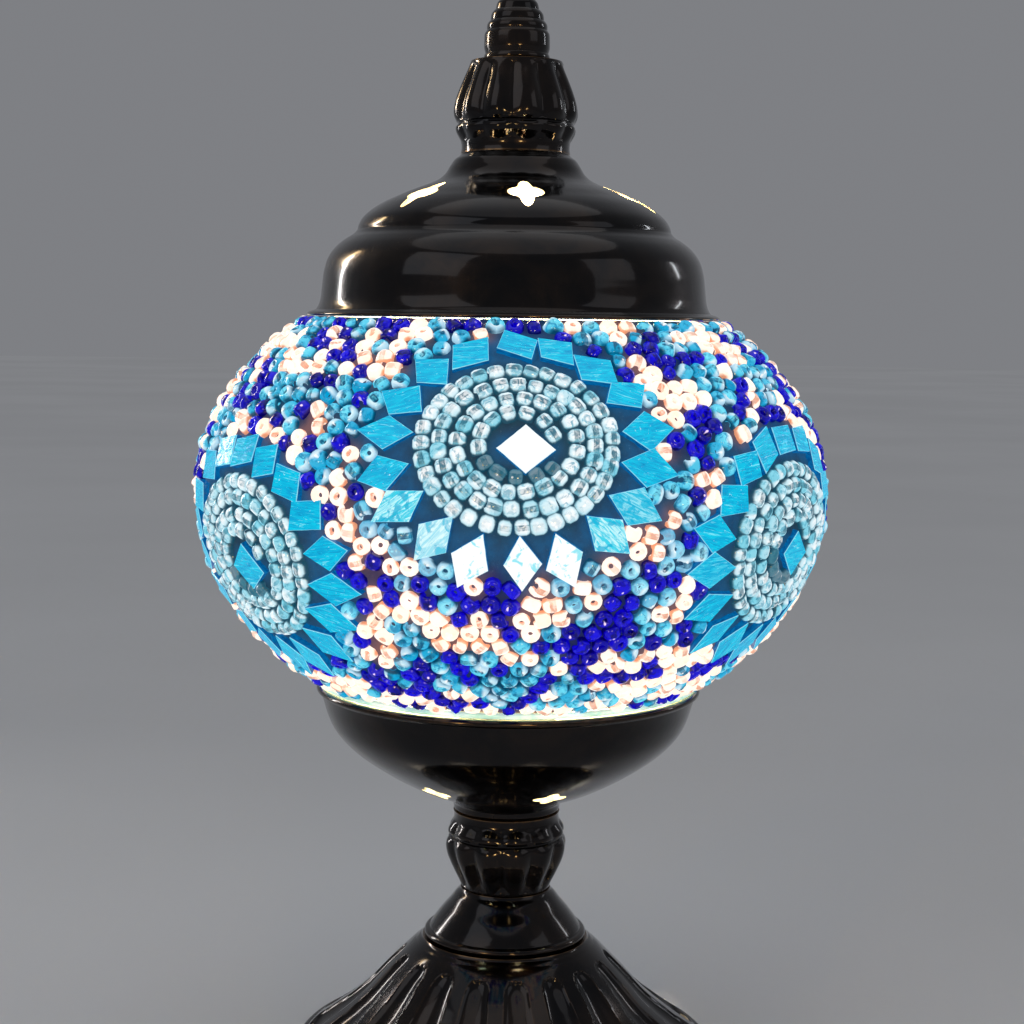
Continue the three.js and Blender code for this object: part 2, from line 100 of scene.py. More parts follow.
class Recipe:
    """A material being put together. Each method adds a node and returns its output."""

    def __init__(self, name):
        self.material = bpy.data.materials.new(name)
        self.material.use_nodes = True
        self.tree = self.material.node_tree
        self.shader = self.tree.nodes["Principled BSDF"]
        self.place = self.add("ShaderNodeTexCoord", {}, "Object")

    def add(self, kind, inputs, output=0, **settings):
        node = self.tree.nodes.new(kind)
        for name, value in settings.items():
            setattr(node, name, value)
        for name, value in inputs.items():
            put(node.inputs[name], value)
        return node.outputs[output]

    def calc(self, operation, *values, clamp=False):
        return self.add("ShaderNodeMath", dict(enumerate(values)), operation=operation, use_clamp=clamp)

    def times(self, value, by, plus=0.0):
        return self.calc("MULTIPLY_ADD", value, by, plus)

    def length(self, x, y):
        return self.calc("SQRT", self.times(x, x, self.times(y, y)))

    def step(self, value, low, high, start=0.0, end=1.0):
        """start below low, end above high, and a smooth change between them."""
        inputs = {0: value, 1: low, 2: high, 3: start, 4: end}
        return self.add("ShaderNodeMapRange", inputs, interpolation_type="SMOOTHSTEP")

    def mix(self, share, below, above):
        return self.add("ShaderNodeMix", {0: share, 6: below, 7: above}, 2, data_type="RGBA")

    def noise(self, scale, detail=3.0, roughness=0.55, distortion=0.0, at=None):
        inputs = {"Scale": scale, "Detail": detail, "Roughness": roughness, "Distortion": distortion}
        inputs["Vector"] = at or self.place
        return self.add("ShaderNodeTexNoise", inputs)

    def stretched(self, scale, at=None):
        return self.add("ShaderNodeMapping", {"Vector": at or self.place, "Scale": scale})

    def attribute(self, name, output="Vector"):
        return self.add("ShaderNodeAttribute", {}, output, attribute_name=name)

    def split(self, vector):
        node = self.tree.nodes.new("ShaderNodeSeparateXYZ")
        put(node.inputs[0], vector)
        return node.outputs

    def bump(self, height, depth):
        """depth in metres for a height of 0 to 1."""
        return self.add("ShaderNodeBump", {"Height": height, "Distance": depth, "Strength": 1.0})

    def made(self, **sockets):
        """Sets the shader's sockets, written with _ for a space, and returns the material."""
        for name, value in sockets.items():
            put(self.shader.inputs[name.replace("_", " ")], value)
        return self.material


def aged_bronze():
    """Lacquered dark bronze: brown-black patina, rubbed bright along edges, dull in hollows."""
    m = Recipe("aged_bronze")
    cloud = m.noise(55, detail=6, roughness=0.62, distortion=0.6)
    patina = m.mix(m.step(cloud, 0.35, 0.68), srgb(17, 16, 19), srgb(38, 30, 26))
    wear = m.attribute("wear", "Fac")
    grain = m.noise(420, detail=5, roughness=0.7)
    rub = m.times(m.step(wear, 0.03, 0.22), m.step(grain, 0.3, 0.62))
    colour = m.mix(rub, patina, srgb(122, 90, 54))
    colour = m.mix(m.step(wear, -0.03, -0.2, 0.0, 0.8), colour, srgb(12, 11, 14))
    streaks = m.noise(1.0, detail=4, roughness=0.7, at=m.stretched((900, 900, 60)))
    rough = m.times(m.step(cloud, 0.3, 0.75), 0.1, 0.13)
    rough = m.times(m.step(streaks, 0.52, 0.75), 0.1, rough)
    relief = m.times(m.noise(150, detail=2), 0.5, m.times(grain, 0.12))
    return m.made(
        Base_Color=colour, Metallic=1.0, Roughness=rough, Normal=m.bump(relief, 0.00012),
        Coat_Weight=0.4, Coat_Roughness=0.07,
    )


def raw_brass():
    """The unlacquered inside of cup and cap: pale dull yellow, with heat stains from the bulb."""
    m = Recipe("raw_brass")
    stain = m.noise(70, detail=5, roughness=0.65)
    colour = m.mix(m.step(stain, 0.45, 0.8), srgb(244, 226, 190), srgb(206, 172, 122))
    spin = m.noise(1.0, detail=3, at=m.stretched((40, 40, 2600)))
    rough = m.times(stain, 0.25, 0.4)
    return m.made(Base_Color=colour, Metallic=0.15, Roughness=rough, Normal=m.bump(spin, 0.00004))


def turned_metal(name, light, dark, roughness, tarnish):
    """Turned or pressed bright metal, with fine tool lines round the axis and tarnish in patches."""
    m = Recipe(name)
    patches = m.noise(220, detail=5, roughness=0.65, distortion=0.4)
    colour = m.mix(m.step(patches, tarnish, tarnish + 0.25), light, dark)
    lines = m.noise(1.0, detail=2, at=m.stretched((60, 60, 5200)))
    rough = m.times(patches, 0.22, roughness)
    return m.made(Base_Color=colour, Metallic=1.0, Roughness=rough, Normal=m.bump(lines, 0.00003))


def moulded(name, light, dark, roughness, gloss=0.5):
    """Moulded plastic or rubber: a fine matt grain, faint flow marks and paler scuffs."""
    m = Recipe(name)
    flow = m.noise(90, detail=4, distortion=1.2)
    scuff = m.step(m.noise(650, detail=6, roughness=0.75), 0.6, 0.74)
    colour = m.mix(m.step(flow, 0.3, 0.7), dark, light)
    colour = m.mix(m.times(scuff, 0.25), colour, srgb(150, 148, 145))
    rough = m.times(scuff, 0.15, roughness)
    height = m.noise(2700, detail=2)
    return m.made(
        Base_Color=colour, Roughness=rough, Specular_IOR_Level=gloss, Normal=m.bump(height, 0.00005),
    )


def silicone():
    """Milky silicone that carries the lamp's light round with it."""
    m = Recipe("clear_silicone")
    cloud = m.noise(180, detail=4, roughness=0.6)
    colour = m.mix(m.step(cloud, 0.35, 0.7), srgb(214, 236, 226), srgb(178, 214, 204))
    glow = m.mix(m.step(cloud, 0.3, 0.75), srgb(214, 246, 232), srgb(128, 186, 172))
    return m.made(
        Base_Color=colour, Roughness=0.35, Emission_Color=glow, Emission_Strength=0.75,
        Normal=m.bump(cloud, 0.00006),
    )


def wool_felt():
    m = Recipe("wool_felt")
    fibres = m.noise(1300, detail=6, roughness=0.8, distortion=2.5)
    lumps = m.noise(160, detail=3)
    colour = m.mix(m.step(fibres, 0.3, 0.7), srgb(24, 38, 30), srgb(58, 82, 66))
    colour = m.mix(m.step(lumps, 0.4, 0.75, 0.0, 0.4), colour, srgb(20, 28, 24))
    return m.made(
        Base_Color=colour, Roughness=0.97, Sheen_Weight=0.5, Sheen_Roughness=0.5,
        Normal=m.bump(fibres, 0.0004),
    )


def clear_glass(name, tint, least, most, ripple):
    """Thin clear glass: nearly open face on, and reflecting towards its edges."""
    m = Recipe(name)
    facing = m.add("ShaderNodeLayerWeight", {"Blend": 0.35}, "Facing")
    waves = m.noise(60, detail=2, distortion=0.5)
    smear = m.noise(240, detail=5, roughness=0.7)
    veil = m.times(m.step(smear, 0.5, 0.8), 0.06, least)
    alpha = m.calc("MULTIPLY_ADD", facing, most - least, veil, clamp=True)
    colour = m.mix(m.step(smear, 0.35, 0.75), tint, srgb(236, 246, 248))
    material = m.made(
        Base_Color=colour, Roughness=0.05, Alpha=alpha, Normal=m.bump(waves, ripple),
        Specular_IOR_Level=0.8,
    )
    material.surface_render_method = "BLENDED"
    return material


def lit_phosphor():
    """LED filament in the bulb: a glowing warm coat with darker gaps between the chips."""
    m = Recipe("lit_phosphor")
    chips = m.add("ShaderNodeTexWave", {"Scale": 480.0, "Vector": m.place, "Distortion": 0.3},
                  bands_direction="Z")
    mottle = m.noise(1500, detail=3)
    glow = m.mix(m.step(chips, 0.1, 0.5), srgb(255, 150, 40), srgb(255, 214, 140))
    colour = m.mix(mottle, srgb(230, 170, 60), srgb(255, 200, 96))
    return m.made(
        Base_Color=colour, Roughness=0.6, Emission_Color=glow, Emission_Strength=14.0,
        Normal=m.bump(mottle, 0.0001),
    )


HOLE_SHARE = 0.22  # a bead's hole, as a share of its radius

# what each kind of lit bead looks like: body tones, outline and hole (both darkened with painted shade), painted gleam
# and glint, and how much of each shows
BEAD_LOOKS = {
    "cream": dict(
        body=srgb(255, 253, 246), tone_and_outline_shade=srgb(254, 242, 226), stain=srgb(246, 222, 196),
        edge=srgb(198, 130, 96), hole=srgb(168, 104, 74), painted_gleam=srgb(255, 255, 252),
        painted_glint=srgb(255, 255, 255),
        stain_share=0.35, hole_share=0.85, painted_gleam_share=0.6, near_share=0.6, painted_glint_share=0.3, outline_shade_from=0.84,
    ),
    "aqua": dict(
        body=srgb(112, 222, 244), tone_and_outline_shade=srgb(0, 162, 210), stain=srgb(0, 122, 172),
        edge=srgb(0, 50, 78), hole=srgb(0, 66, 98), painted_gleam=srgb(244, 255, 255), painted_glint=srgb(255, 255, 255),
        stain_share=0.85, hole_share=0.9, painted_gleam_share=0.8, near_share=0.25, painted_glint_share=0.8, outline_shade_from=0.76,
    ),
    "cobalt": dict(
        body=srgb(10, 0, 218), tone_and_outline_shade=srgb(4, 0, 146), stain=srgb(2, 0, 60),
        edge=srgb(2, 0, 66), hole=srgb(0, 0, 40), painted_gleam=srgb(50, 40, 250), painted_glint=srgb(250, 222, 255),
        stain_share=0.75, hole_share=0.8, painted_gleam_share=0.3, near_share=0.15, painted_glint_share=0.95, outline_shade_from=0.84,
    ),
    "clear": dict(
        body=srgb(255, 255, 255), tone_and_outline_shade=srgb(122, 206, 226), stain=srgb(58, 150, 178),
        edge=srgb(4, 54, 74), hole=srgb(28, 84, 104), painted_gleam=srgb(255, 255, 255), painted_glint=srgb(255, 255, 255),
        stain_share=0.75, hole_share=0.9, painted_gleam_share=0.85, near_share=0.85, painted_glint_share=0.5, outline_shade_from=0.76,
    ),
}


def lit_bead(kind):
    """Glass bead lit from behind, its light painted as emission. The hole shows through it as a band, and its outline
    is dark with painted shade.

    bead_hole holds the place on the bead across the glass, in bead radii (along the hole, across
    it), and half the hole's length as seen from outside. bead_mix holds two random numbers and how
    near the bulb's brightest zone the bead lies; bead_rise is the height over the bead's centre and
    bead_brim how near the bead's outline the place is, 1 being on it."""
    look = BEAD_LOOKS[kind]
    m = Recipe("bead_" + kind)
    along, across, half = m.split(m.attribute("bead_hole"))
    chance, turn, near = m.split(m.attribute("bead_mix"))
    rise = m.attribute("bead_rise", "Fac")
    brim = m.attribute("bead_brim", "Fac")
    beyond = m.calc("MAXIMUM", m.calc("SUBTRACT", m.calc("ABSOLUTE", along), half), 0.0)
    from_hole = m.length(beyond, across)

    blotch = m.noise(460, detail=3, roughness=0.6, distortion=1.2)
    colour = m.mix(m.step(chance, 0.35, 1.0), look["body"], look["tone_and_outline_shade"])
    stained = m.times(m.step(blotch, 0.46, 0.62), look["stain_share"])
    colour = m.mix(stained, colour, look["stain"])

    heading = m.times(turn, TURN)
    cosine, sine = m.calc("COSINE", heading), m.calc("SINE", heading)
    # painted highlight: a gleam on one side of each bead, and painted light whitening beads near the bulb's brightest
    # zone
    side = m.times(along, cosine, m.times(across, sine))
    painted_gleam = m.times(m.step(side, 0.1, 0.55), look["painted_gleam_share"])
    painted_gleam = m.calc("MAXIMUM", painted_gleam, m.times(m.step(near, 0.25, 0.95), look["near_share"]))
    colour = m.mix(painted_gleam, colour, look["painted_gleam"])

    # the hole: a band where it shows through the glass, darkened with painted shade and darkest at its walls, weaker
    # on some beads
    wall = m.step(m.calc("ABSOLUTE", m.calc("SUBTRACT", from_hole, HOLE_SHARE)), 0.16, 0.02)
    bore = m.step(from_hole, HOLE_SHARE + 0.06, HOLE_SHARE - 0.12, 0.0, 0.9)
    band = m.times(m.calc("MAXIMUM", wall, bore), m.step(turn, 0.2, 0.6, 0.05, look["hole_share"]))
    band = m.times(band, m.step(blotch, 0.36, 0.54, 0.4, 1.0))
    colour = m.mix(band, colour, look["hole"])

    # painted glint: a small white spot off the middle of some beads
    off = m.length(m.times(cosine, -0.4, along), m.times(sine, -0.4, across))
    painted_glint = m.times(m.step(off, 0.17, 0.08), m.step(chance, 0.45, 0.6, 0.0, look["painted_glint_share"]))
    # painted shade: the body deepens to the darker tone towards its outline
    colour = m.mix(m.step(brim, 0.4, 0.85, 0.0, 0.5), colour, look["tone_and_outline_shade"])
    # painted shade: beads in the diamond's shade carry a negative nearness and darken to the hole colour
    colour = m.mix(m.step(near, 0.0, -0.8, 0.0, 0.85), colour, look["hole"])
    # painted shade: the outline, and the low sides next to the grout, take the dark edge colour
    rim = m.calc("MAXIMUM", m.step(brim, look["outline_shade_from"], 0.96), m.step(rise, 0.16, -0.16))
    colour = m.mix(m.times(rim, 0.97), colour, look["edge"])
    colour = m.mix(painted_glint, colour, look["painted_glint"])
    glaze = m.mix(0.93, colour, look["edge"])
    return m.made(
        Base_Color=glaze, Roughness=0.14, Coat_Weight=0.2, Coat_Roughness=0.05,
        Specular_IOR_Level=0.35, Emission_Color=colour, Emission_Strength=1.0,
        Normal=m.bump(blotch, 0.00008),
    )


def lit_tile():
    """Cut sheet of streaky cyan glass, lit from behind.

    tile_place is the place on the tile in millimetres, tile_mix a random number, the nearness to
    the bulb's brightest zone and how much of the tile is clear glass painted white with the bulb's light, tile_top 1
    on its face."""
    m = Recipe("tile_cyan")
    place = m.attribute("tile_place")
    chance, near, clear = m.split(m.attribute("tile_mix"))
    top = m.attribute("tile_top", "Fac")
    wisps = m.noise(1.0, detail=5, roughness=0.62, distortion=1.4, at=m.stretched((0.16, 0.95, 1.0), place))
    lines = m.noise(1.0, detail=4, roughness=0.6, distortion=1.3, at=m.stretched((0.16, 1.7, 1.0), place))
    blots = m.noise(0.42, detail=4, roughness=0.55, distortion=0.7, at=place)
    flecks = m.noise(1.5, detail=3, roughness=0.7, distortion=0.5, at=place)

    colour = m.mix(m.step(wisps, 0.34, 0.66), srgb(0, 158, 208), srgb(0, 200, 232))
    colour = m.mix(m.step(lines, 0.42, 0.32, 0.0, 0.6), colour, srgb(0, 118, 172))
    colour = m.mix(m.step(lines, 0.6, 0.67, 0.0, 0.7), colour, srgb(140, 238, 250))
    colour = m.mix(m.step(flecks, 0.66, 0.74, 0.0, 0.9), colour, srgb(226, 252, 255))
    # painted light: nearer the bulb's brightest zone the glass turns paler, then white
    pale = m.mix(m.step(wisps, 0.42, 0.62), srgb(58, 208, 232), srgb(202, 248, 252))
    pale = m.mix(m.step(blots, 0.5, 0.58, 0.0, 0.85), pale, srgb(10, 176, 214))
    lit = m.calc("ADD", near, m.times(chance, 0.16, -0.08))
    colour = m.mix(m.step(lit, 0.3, 0.66), colour, pale)
    white = m.mix(m.step(blots, 0.54, 0.64, 0.0, 0.85), srgb(255, 255, 255), srgb(120, 226, 240))
    colour = m.mix(m.step(lit, 0.82, 0.98), colour, white)
    # partly painted light: the high medallions' diamonds are clear glass, painted pure white as the bulb's light
    # shining through
    colour = m.mix(clear, colour, srgb(255, 255, 255))
    # painted shade: the side walls turn darker blue; painted highlight: a pale line along the bevel
    wall = m.mix(m.step(wisps, 0.3, 0.7), srgb(0, 66, 124), srgb(0, 104, 164))
    colour = m.mix(m.step(top, 0.6, 0.95, 0.55, 0.0), colour, srgb(186, 244, 252))
    colour = m.mix(m.step(top, 0.3, 0.6), wall, colour)
    return m.made(
        Base_Color=m.mix(0.93, colour, srgb(0, 40, 66)), Roughness=0.12, Specular_IOR_Level=0.2,
        Coat_Weight=0.15, Coat_Roughness=0.04, Emission_Color=colour, Emission_Strength=1.0,
        Normal=m.bump(wisps, 0.00018),
    )


def lit_grout():
    """Sandy plaster between the glass, glowing in the colours of the glass beside it."""
    m = Recipe("grout")
    near = m.attribute("grout_tint", "Color")
    sand = m.noise(1500, detail=4, roughness=0.75)
    cloud = m.noise(230, detail=4, roughness=0.6)
    colour = m.mix(m.step(cloud, 0.35, 0.7), near, m.mix(0.45, near, srgb(6, 34, 62)))
    colour = m.mix(m.step(sand, 0.62, 0.74, 0.0, 0.16), colour, srgb(150, 190, 205))
    return m.made(
        Base_Color=m.mix(0.8, colour, srgb(34, 38, 44)), Roughness=0.85, Emission_Color=colour,
        Emission_Strength=0.85, Normal=m.bump(sand, 0.00025),
    )


BRONZE = aged_bronze()
BRASS_INSIDE = raw_brass()
STEEL = turned_metal("zinc_plated_steel", srgb(196, 196, 190), srgb(140, 136, 120), 0.24, 0.45)
BRASS = turned_metal("contact_brass", srgb(214, 176, 98), srgb(140, 100, 52), 0.2, 0.42)
FELT = wool_felt()
SILICONE = silicone()
RUBBER = moulded("black_rubber", srgb(38, 38, 39), srgb(24, 24, 25), 0.72, gloss=0.3)
CERAMIC = moulded("terminal_plastic", srgb(232, 228, 214), srgb(214, 208, 192), 0.4)
PHENOLIC = moulded("black_phenolic", srgb(34, 32, 31), srgb(20, 19, 19), 0.3, gloss=0.6)
WIRE_BROWN = moulded("wire_brown", srgb(112, 62, 34), srgb(92, 48, 26), 0.42)
WIRE_BLUE = moulded("wire_blue", srgb(34, 86, 168), srgb(24, 66, 140), 0.42)
GLOBE_GLASS = clear_glass("globe_glass", srgb(176, 224, 232), 0.14, 0.75, 0.0004)
BULB_GLASS = clear_glass("bulb_glass", srgb(255, 244, 224), 0.05, 0.7, 0.0001)
BLACK_GLASS = moulded("black_glass", srgb(22, 22, 30), srgb(12, 12, 16), 0.08, gloss=0.9)
PHOSPHOR = lit_phosphor()
TILE = lit_tile()
GROUT = lit_grout()
BEADS = {kind: lit_bead(kind) for kind in BEAD_LOOKS}


# ---- mesh helpers ------------------------------------------------------------------------------
def mesh_of(points, quads):
    mesh = bpy.data.meshes.new("mesh")
    mesh.vertices.add(len(points))
    mesh.vertices.foreach_set("co", np.asarray(points, np.float32).ravel())
    mesh.loops.add(quads.size)
    mesh.loops.foreach_set("vertex_index", quads.astype(np.int32).ravel())
    mesh.polygons.add(len(quads))
    mesh.polygons.foreach_set("loop_start", np.arange(0, quads.size, 4, dtype=np.int32))
    mesh.update(calc_edges=True)
    return mesh


def put_attribute(mesh, name, values):
    """A value or vector for each vertex."""
    values = np.asarray(values, np.float32)
    kind, field = ("FLOAT", "value") if values.ndim == 1 else ("FLOAT_VECTOR", "vector")
    mesh.attributes.new(name, kind, "POINT").data.foreach_set(field, values.ravel())


def smooth(mesh, crisp):
    mesh.shade_smooth()
    mesh.set_sharp_from_angle(angle=math.radians(crisp))


def piece(name, mesh, materials, body, replaced=(), crisp=35):
    """An object for a mesh, riding on a CAD body. Edges sharper than crisp degrees stay crisp."""
    mesh.name = name
    smooth(mesh, crisp)
    for material in materials:
        mesh.materials.append(material)
    made = placed(name, mesh)
    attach(made, body)
    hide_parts(*replaced)
    return made


def loop_quads(rows, columns):
    """Quads of a grid that closes on itself in both directions."""
    row, column = np.meshgrid(np.arange(rows), np.arange(columns), indexing="ij")
    below, right = (row + 1) % rows, (column + 1) % columns
    corners = [row * columns + column, row * columns + right, below * columns + right,
               below * columns + column]
    return np.stack(corners, -1).reshape(-1, 4)


def spline(points, steps, base=0.0):
    """A smooth curve through (radius, height over base) points, which keeps both ends."""
    p = np.array(points, float) + (0, base)
    p = np.vstack([2 * p[0] - p[1], p, 2 * p[-1] - p[-2]])
    t = np.linspace(0, 1, steps, endpoint=False)[:, None]
    curve = []
    for a, b, c, d in zip(p, p[1:], p[2:], p[3:]):
        curve.append(0.5 * (2 * b + (c - a) * t + (2 * a - 5 * b + 4 * c - d) * t**2 + (3 * b - a - 3 * c + d) * t**3))
    return [tuple(q) for q in np.vstack(curve)] + [tuple(p[-2])]


def turned(outline, segments, relief=None, inside_from=None):
    """Solid of revolution from a closed loop of (radius, height) in millimetres.

    relief(azimuth, radius, height) cuts that many millimetres in from the face. Faces from outline
    point inside_from on take the second material."""
    loop = np.array(outline, float)
    ahead, behind = np.roll(loop, -1, 0), np.roll(loop, 1, 0)
    along = ahead - behind
    out = np.stack([along[:, 1], -along[:, 0]], 1)
    out /= np.maximum(np.linalg.norm(out, axis=1, keepdims=True), 1e-9)
    azimuth = np.arange(segments) * TURN / segments
    radius = np.repeat(loop[:, :1], segments, 1)
    height = np.repeat(loop[:, 1:], segments, 1)
    if relief:
        depth = relief(azimuth[None, :], radius, height)
        radius, height = radius - depth * out[:, :1], height - depth * out[:, 1:]
    points = np.stack([radius * np.sin(azimuth), -radius * np.cos(azimuth), height], -1) * MM
    quads = loop_quads(len(loop), segments)
    mesh = mesh_of(points.reshape(-1, 3), quads)
    if inside_from is not None:
        row = np.arange(len(quads)) // segments
        mesh.polygons.foreach_set("material_index", (row >= inside_from).astype(np.int32))
    return mesh


def turned_piece(node, body, slot, materials, *shape, **more):
    """The turned piece that stands for a CAD node."""
    return piece(node + "_fine", turned(*shape, **more), materials, body, [node])


def mark_wear(mesh):
    """Stores how convex the surface is at each vertex: above 0 on edges, below 0 in hollows."""
    count = len(mesh.vertices)
    points, normals = np.zeros(count * 3), np.zeros(count * 3)
    mesh.vertices.foreach_get("co", points)
    mesh.vertices.foreach_get("normal", normals)
    points, normals = points.reshape(-1, 3), normals.reshape(-1, 3)
    ends = np.zeros(len(mesh.edges) * 2, np.int32)
    mesh.edges.foreach_get("vertices", ends)
    pairs = ends.reshape(-1, 2)
    pairs = np.vstack([pairs, pairs[:, ::-1]])
    span = points[pairs[:, 0]] - points[pairs[:, 1]]
    bend = (span * normals[pairs[:, 0]]).sum(1) / np.maximum(np.linalg.norm(span, axis=1), 1e-9)
    neighbours = np.maximum(np.bincount(pairs[:, 0], minlength=count), 1)
    wear = np.bincount(pairs[:, 0], weights=bend, minlength=count) / neighbours
    for _ in range(3):
        around = np.bincount(pairs[:, 0], weights=wear[pairs[:, 1]], minlength=count) / neighbours
        wear = (wear + around) / 2
    put_attribute(mesh, "wear", wear)


# ---- pierced and turned metal ------------------------------------------------------------------
FLUTES = 18
FLUTE_TURN = math.radians(-3.6)  # azimuth of one ridge
LOBES = 12
TUBE_BORE = 5.3
STUD_BORE = 3.3
SHEET = 1.4
CAP_PIERCINGS = dict(radius=32.4, height=246.1, tilt=28.6, stretch=1.7, azimuths=(5, 72, 127, 185, 247, 312))
CUP_PIERCINGS = dict(radius=30.6, height=86.9, tilt=149.8, stretch=1.0, azimuths=(22, 82, 142, 202, 262, 322))


def ridge_wave(azimuth, count, softness):
    """0 on each of count ridges, 1 halfway between them; softness rounds the ridges off."""
    swing = np.sin(count / 2 * (azimuth - FLUTE_TURN)) ** 2
    low = math.sqrt(softness)
    return (np.sqrt(swing + softness) - low) / (math.sqrt(1 + softness) - low)


def soft_gate(value, low, high, width):
    """1 between low and high, 0 outside, with rounded shoulders of a width inside both ends."""
    inset = np.clip(np.minimum(value - low, high - value) / width, 0, 1)
    return np.sqrt(1 - (1 - inset) ** 2)


def subtract(made, cutter):
    """Cuts the cutter's shape out of an object."""
    modifier = made.modifiers.new("cut", "BOOLEAN")
    modifier.object, modifier.operation, modifier.solver = cutter, "DIFFERENCE", "EXACT"
    bpy.context.view_layer.update()
    cut = bpy.data.meshes.new_from_object(made.evaluated_get(bpy.context.evaluated_depsgraph_get()))
    made.modifiers.clear()
    made.data = cut
    bpy.data.objects.remove(cutter)


def cut_piercings(made, radius, height, tilt, stretch, azimuths):
    """Cuts a ring of four-lobed piercings, whose cut edges show the bare metal, through a shell."""
    corners, depth = 48, 5.0
    a = np.arange(corners) * TURN / corners
    r = 3.85 + 0.95 * np.cos(4 * a)
    flat = np.stack([r * np.cos(a), stretch * r * np.sin(a)], 1)
    points, faces = [], []
    for azimuth in azimuths:
        place = Matrix.Rotation(math.radians(azimuth), 4, "Z")
        place = place @ Matrix.Translation((0, -radius, height)) @ Matrix.Rotation(math.radians(tilt), 4, "X")
        start = len(points)
        points += [tuple(MM * c for c in place @ Matrix.Translation((x, y, z)).translation)
                   for z in (-depth, depth) for x, y in flat]
        ring = [start + i for i in range(corners)]
        faces += [ring[::-1], [i + corners for i in ring]]
        faces += [[i, ring[(k + 1) % corners], ring[(k + 1) % corners] + corners, i + corners]
                  for k, i in enumerate(ring)]
    mesh = bpy.data.meshes.new("cutter")
    mesh.from_pydata(points, [], faces)
    mesh.materials.append(BRONZE)
    mesh.materials.append(BRASS_INSIDE)
    mesh.polygons.foreach_set("material_index", np.ones(len(faces), np.int32))
    subtract(made, placed("cutter", mesh))


def drill_inlet(foot):
    """The hole at the back of the foot that the cable's grommet sits in."""
    low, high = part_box("cable_grommet")
    bpy.ops.mesh.primitive_cylinder_add(
        vertices=48, radius=3.8 * MM, depth=10 * MM, location=(0, high.y - 2 * MM, (low.z + high.z) / 2),
        rotation=(math.pi / 2, 0, 0),
    )
    subtract(foot, bpy.context.object)


def bronze_piece(node, body, outline, segments, relief=None, inside_from=None, cut=None):
    """A turned bronze piece, marked with its wear. cut(piece) makes the holes in it."""
    materials = [BRONZE] if inside_from is None else [BRONZE, BRASS_INSIDE]
    made = turned_piece(node, body, "aged_bronze", materials, outline, segments, relief, inside_from)
    if cut:
        cut(made)
    smooth(made.data, 35)
    mark_wear(made.data)


def make_foot():
    low, top = level("base_foot", 0), level("base_foot", 1)
    foot_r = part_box("base_foot")[1].x / MM
    wall = 3.3
    outer = [(foot_r - 0.5, low), (foot_r, low + 0.5)]
    outer += spline([(foot_r, low + 1), (foot_r, 5), (foot_r, 8.6), (58.7, 9.4), (58.1, 9.9), (57.4, 10.1)],
                    4)
    outer += [(56.9, 10.15), (56.7, 10.5)]
    outer += spline([(56.3, 10.9), (54.9, 12.1), (52.3, 14), (49.5, 16), (46.9, 18), (44.3, 20), (42, 22),
                     (39.8, 24), (37.9, 26), (36.1, 28), (34.3, 30), (32.4, 32), (30.4, 34), (28.4, 36),
                     (26.3, 38), (24.5, 39.4)], 7)
    outer += spline([(24.3, 39.6), (23.6, 40.1), (23.2, top)], 3) + [(TUBE_BORE, top)]
    inner = spline([(TUBE_BORE, top - wall), (22.3, top - wall), (26.1, 34), (30.1, 30), (33.9, 25.9),
                    (37.7, 21.8), (42.3, 17.8), (47.6, 13.9), (53, 10.1), (55.4, 9.1), (foot_r - 2.6, 8.2)],
                    3)
    inner.append((foot_r - 2.6, low))

    def flutes(azimuth, radius, height):
        on_flank = (radius > 25) & (radius < 56.5) & (height > 9 + (55.1 - radius) * 0.9)
        down = np.clip((radius - 28) / 28, 0, 1)
        swing = np.sin(FLUTES / 2 * (azimuth - FLUTE_TURN)) ** 2
        flat = 0.38 - 0.28 * down
        gate = soft_gate(radius, 28.1, 56.2, 2.8)
        channel = np.clip((swing - flat) / (1 - flat) - (1 - gate), 0, 1)
        return np.where(on_flank, (1.25 + 0.75 * down) * np.sqrt(channel + 0.002), 0.0)

    bronze_piece("base_foot", "root", outer + inner, FLUTES * 32, flutes, len(outer), drill_inlet)


def make_collar():
    low, high = level("stem_collar", 0), level("stem_collar", 1)
    outline = spline([(22, 0), (22.6, 0.5), (22.7, 1.1), (22.3, 1.7)], 4, low)
    outline += spline([(21.7, 1.9), (21.3, 2), (21.1, 2.4)], 3, low)
    outline += spline([(21, 2.6), (19.8, 4.4), (17.9, 6.9), (15.8, 9.4), (14.1, 11.6),
                       (13, high - low - 0.8), (12.6, high - low)], 9, low)
    bronze_piece("stem_collar", "root", outline + [(TUBE_BORE, high), (TUBE_BORE, low)], 256)


# A knop from its wide end (share 0) to its narrow end (share 1): beaded ring, groove, lobed body.
KNOP = spline([(14.9, 0.0), (14.7, 0.05), (14.8, 0.11), (15.5, 0.16), (16.3, 0.22), (16.5, 0.27),
               (16.1, 0.3)], 4)
KNOP += [(15.7, 0.31), (15.7, 0.325)]
KNOP += spline([(16.2, 0.335), (16.9, 0.39), (17.1, 0.46), (16.7, 0.56), (15.8, 0.67), (14.6, 0.79),
                (13.4, 0.9), (12.8, 0.96), (12.4, 1.0)], 6)


def make_knop(node, body, bore, wide_end_up):
    low, high = level(node, 0), level(node, 1)
    start, way = (high, -1) if wide_end_up else (low, 1)
    side = [(r, start + way * share * (high - low)) for r, share in KNOP][::way]
    outline = side + [(bore, side[-1][1]), (bore, side[0][1])]

    def lobes(azimuth, radius, height):
        share = way * (height - start) / (high - low)
        wave = 1 - ridge_wave(azimuth, LOBES, 0.01)
        depth = wave * (0.75 * soft_gate(share, 0.12, 0.31, 0.08) + 1.25 * soft_gate(share, 0.33, 0.97, 0.2))
        return np.where(radius > bore + 1, depth, 0.0)

    bronze_piece(node, body, outline, LOBES * 26, lobes)


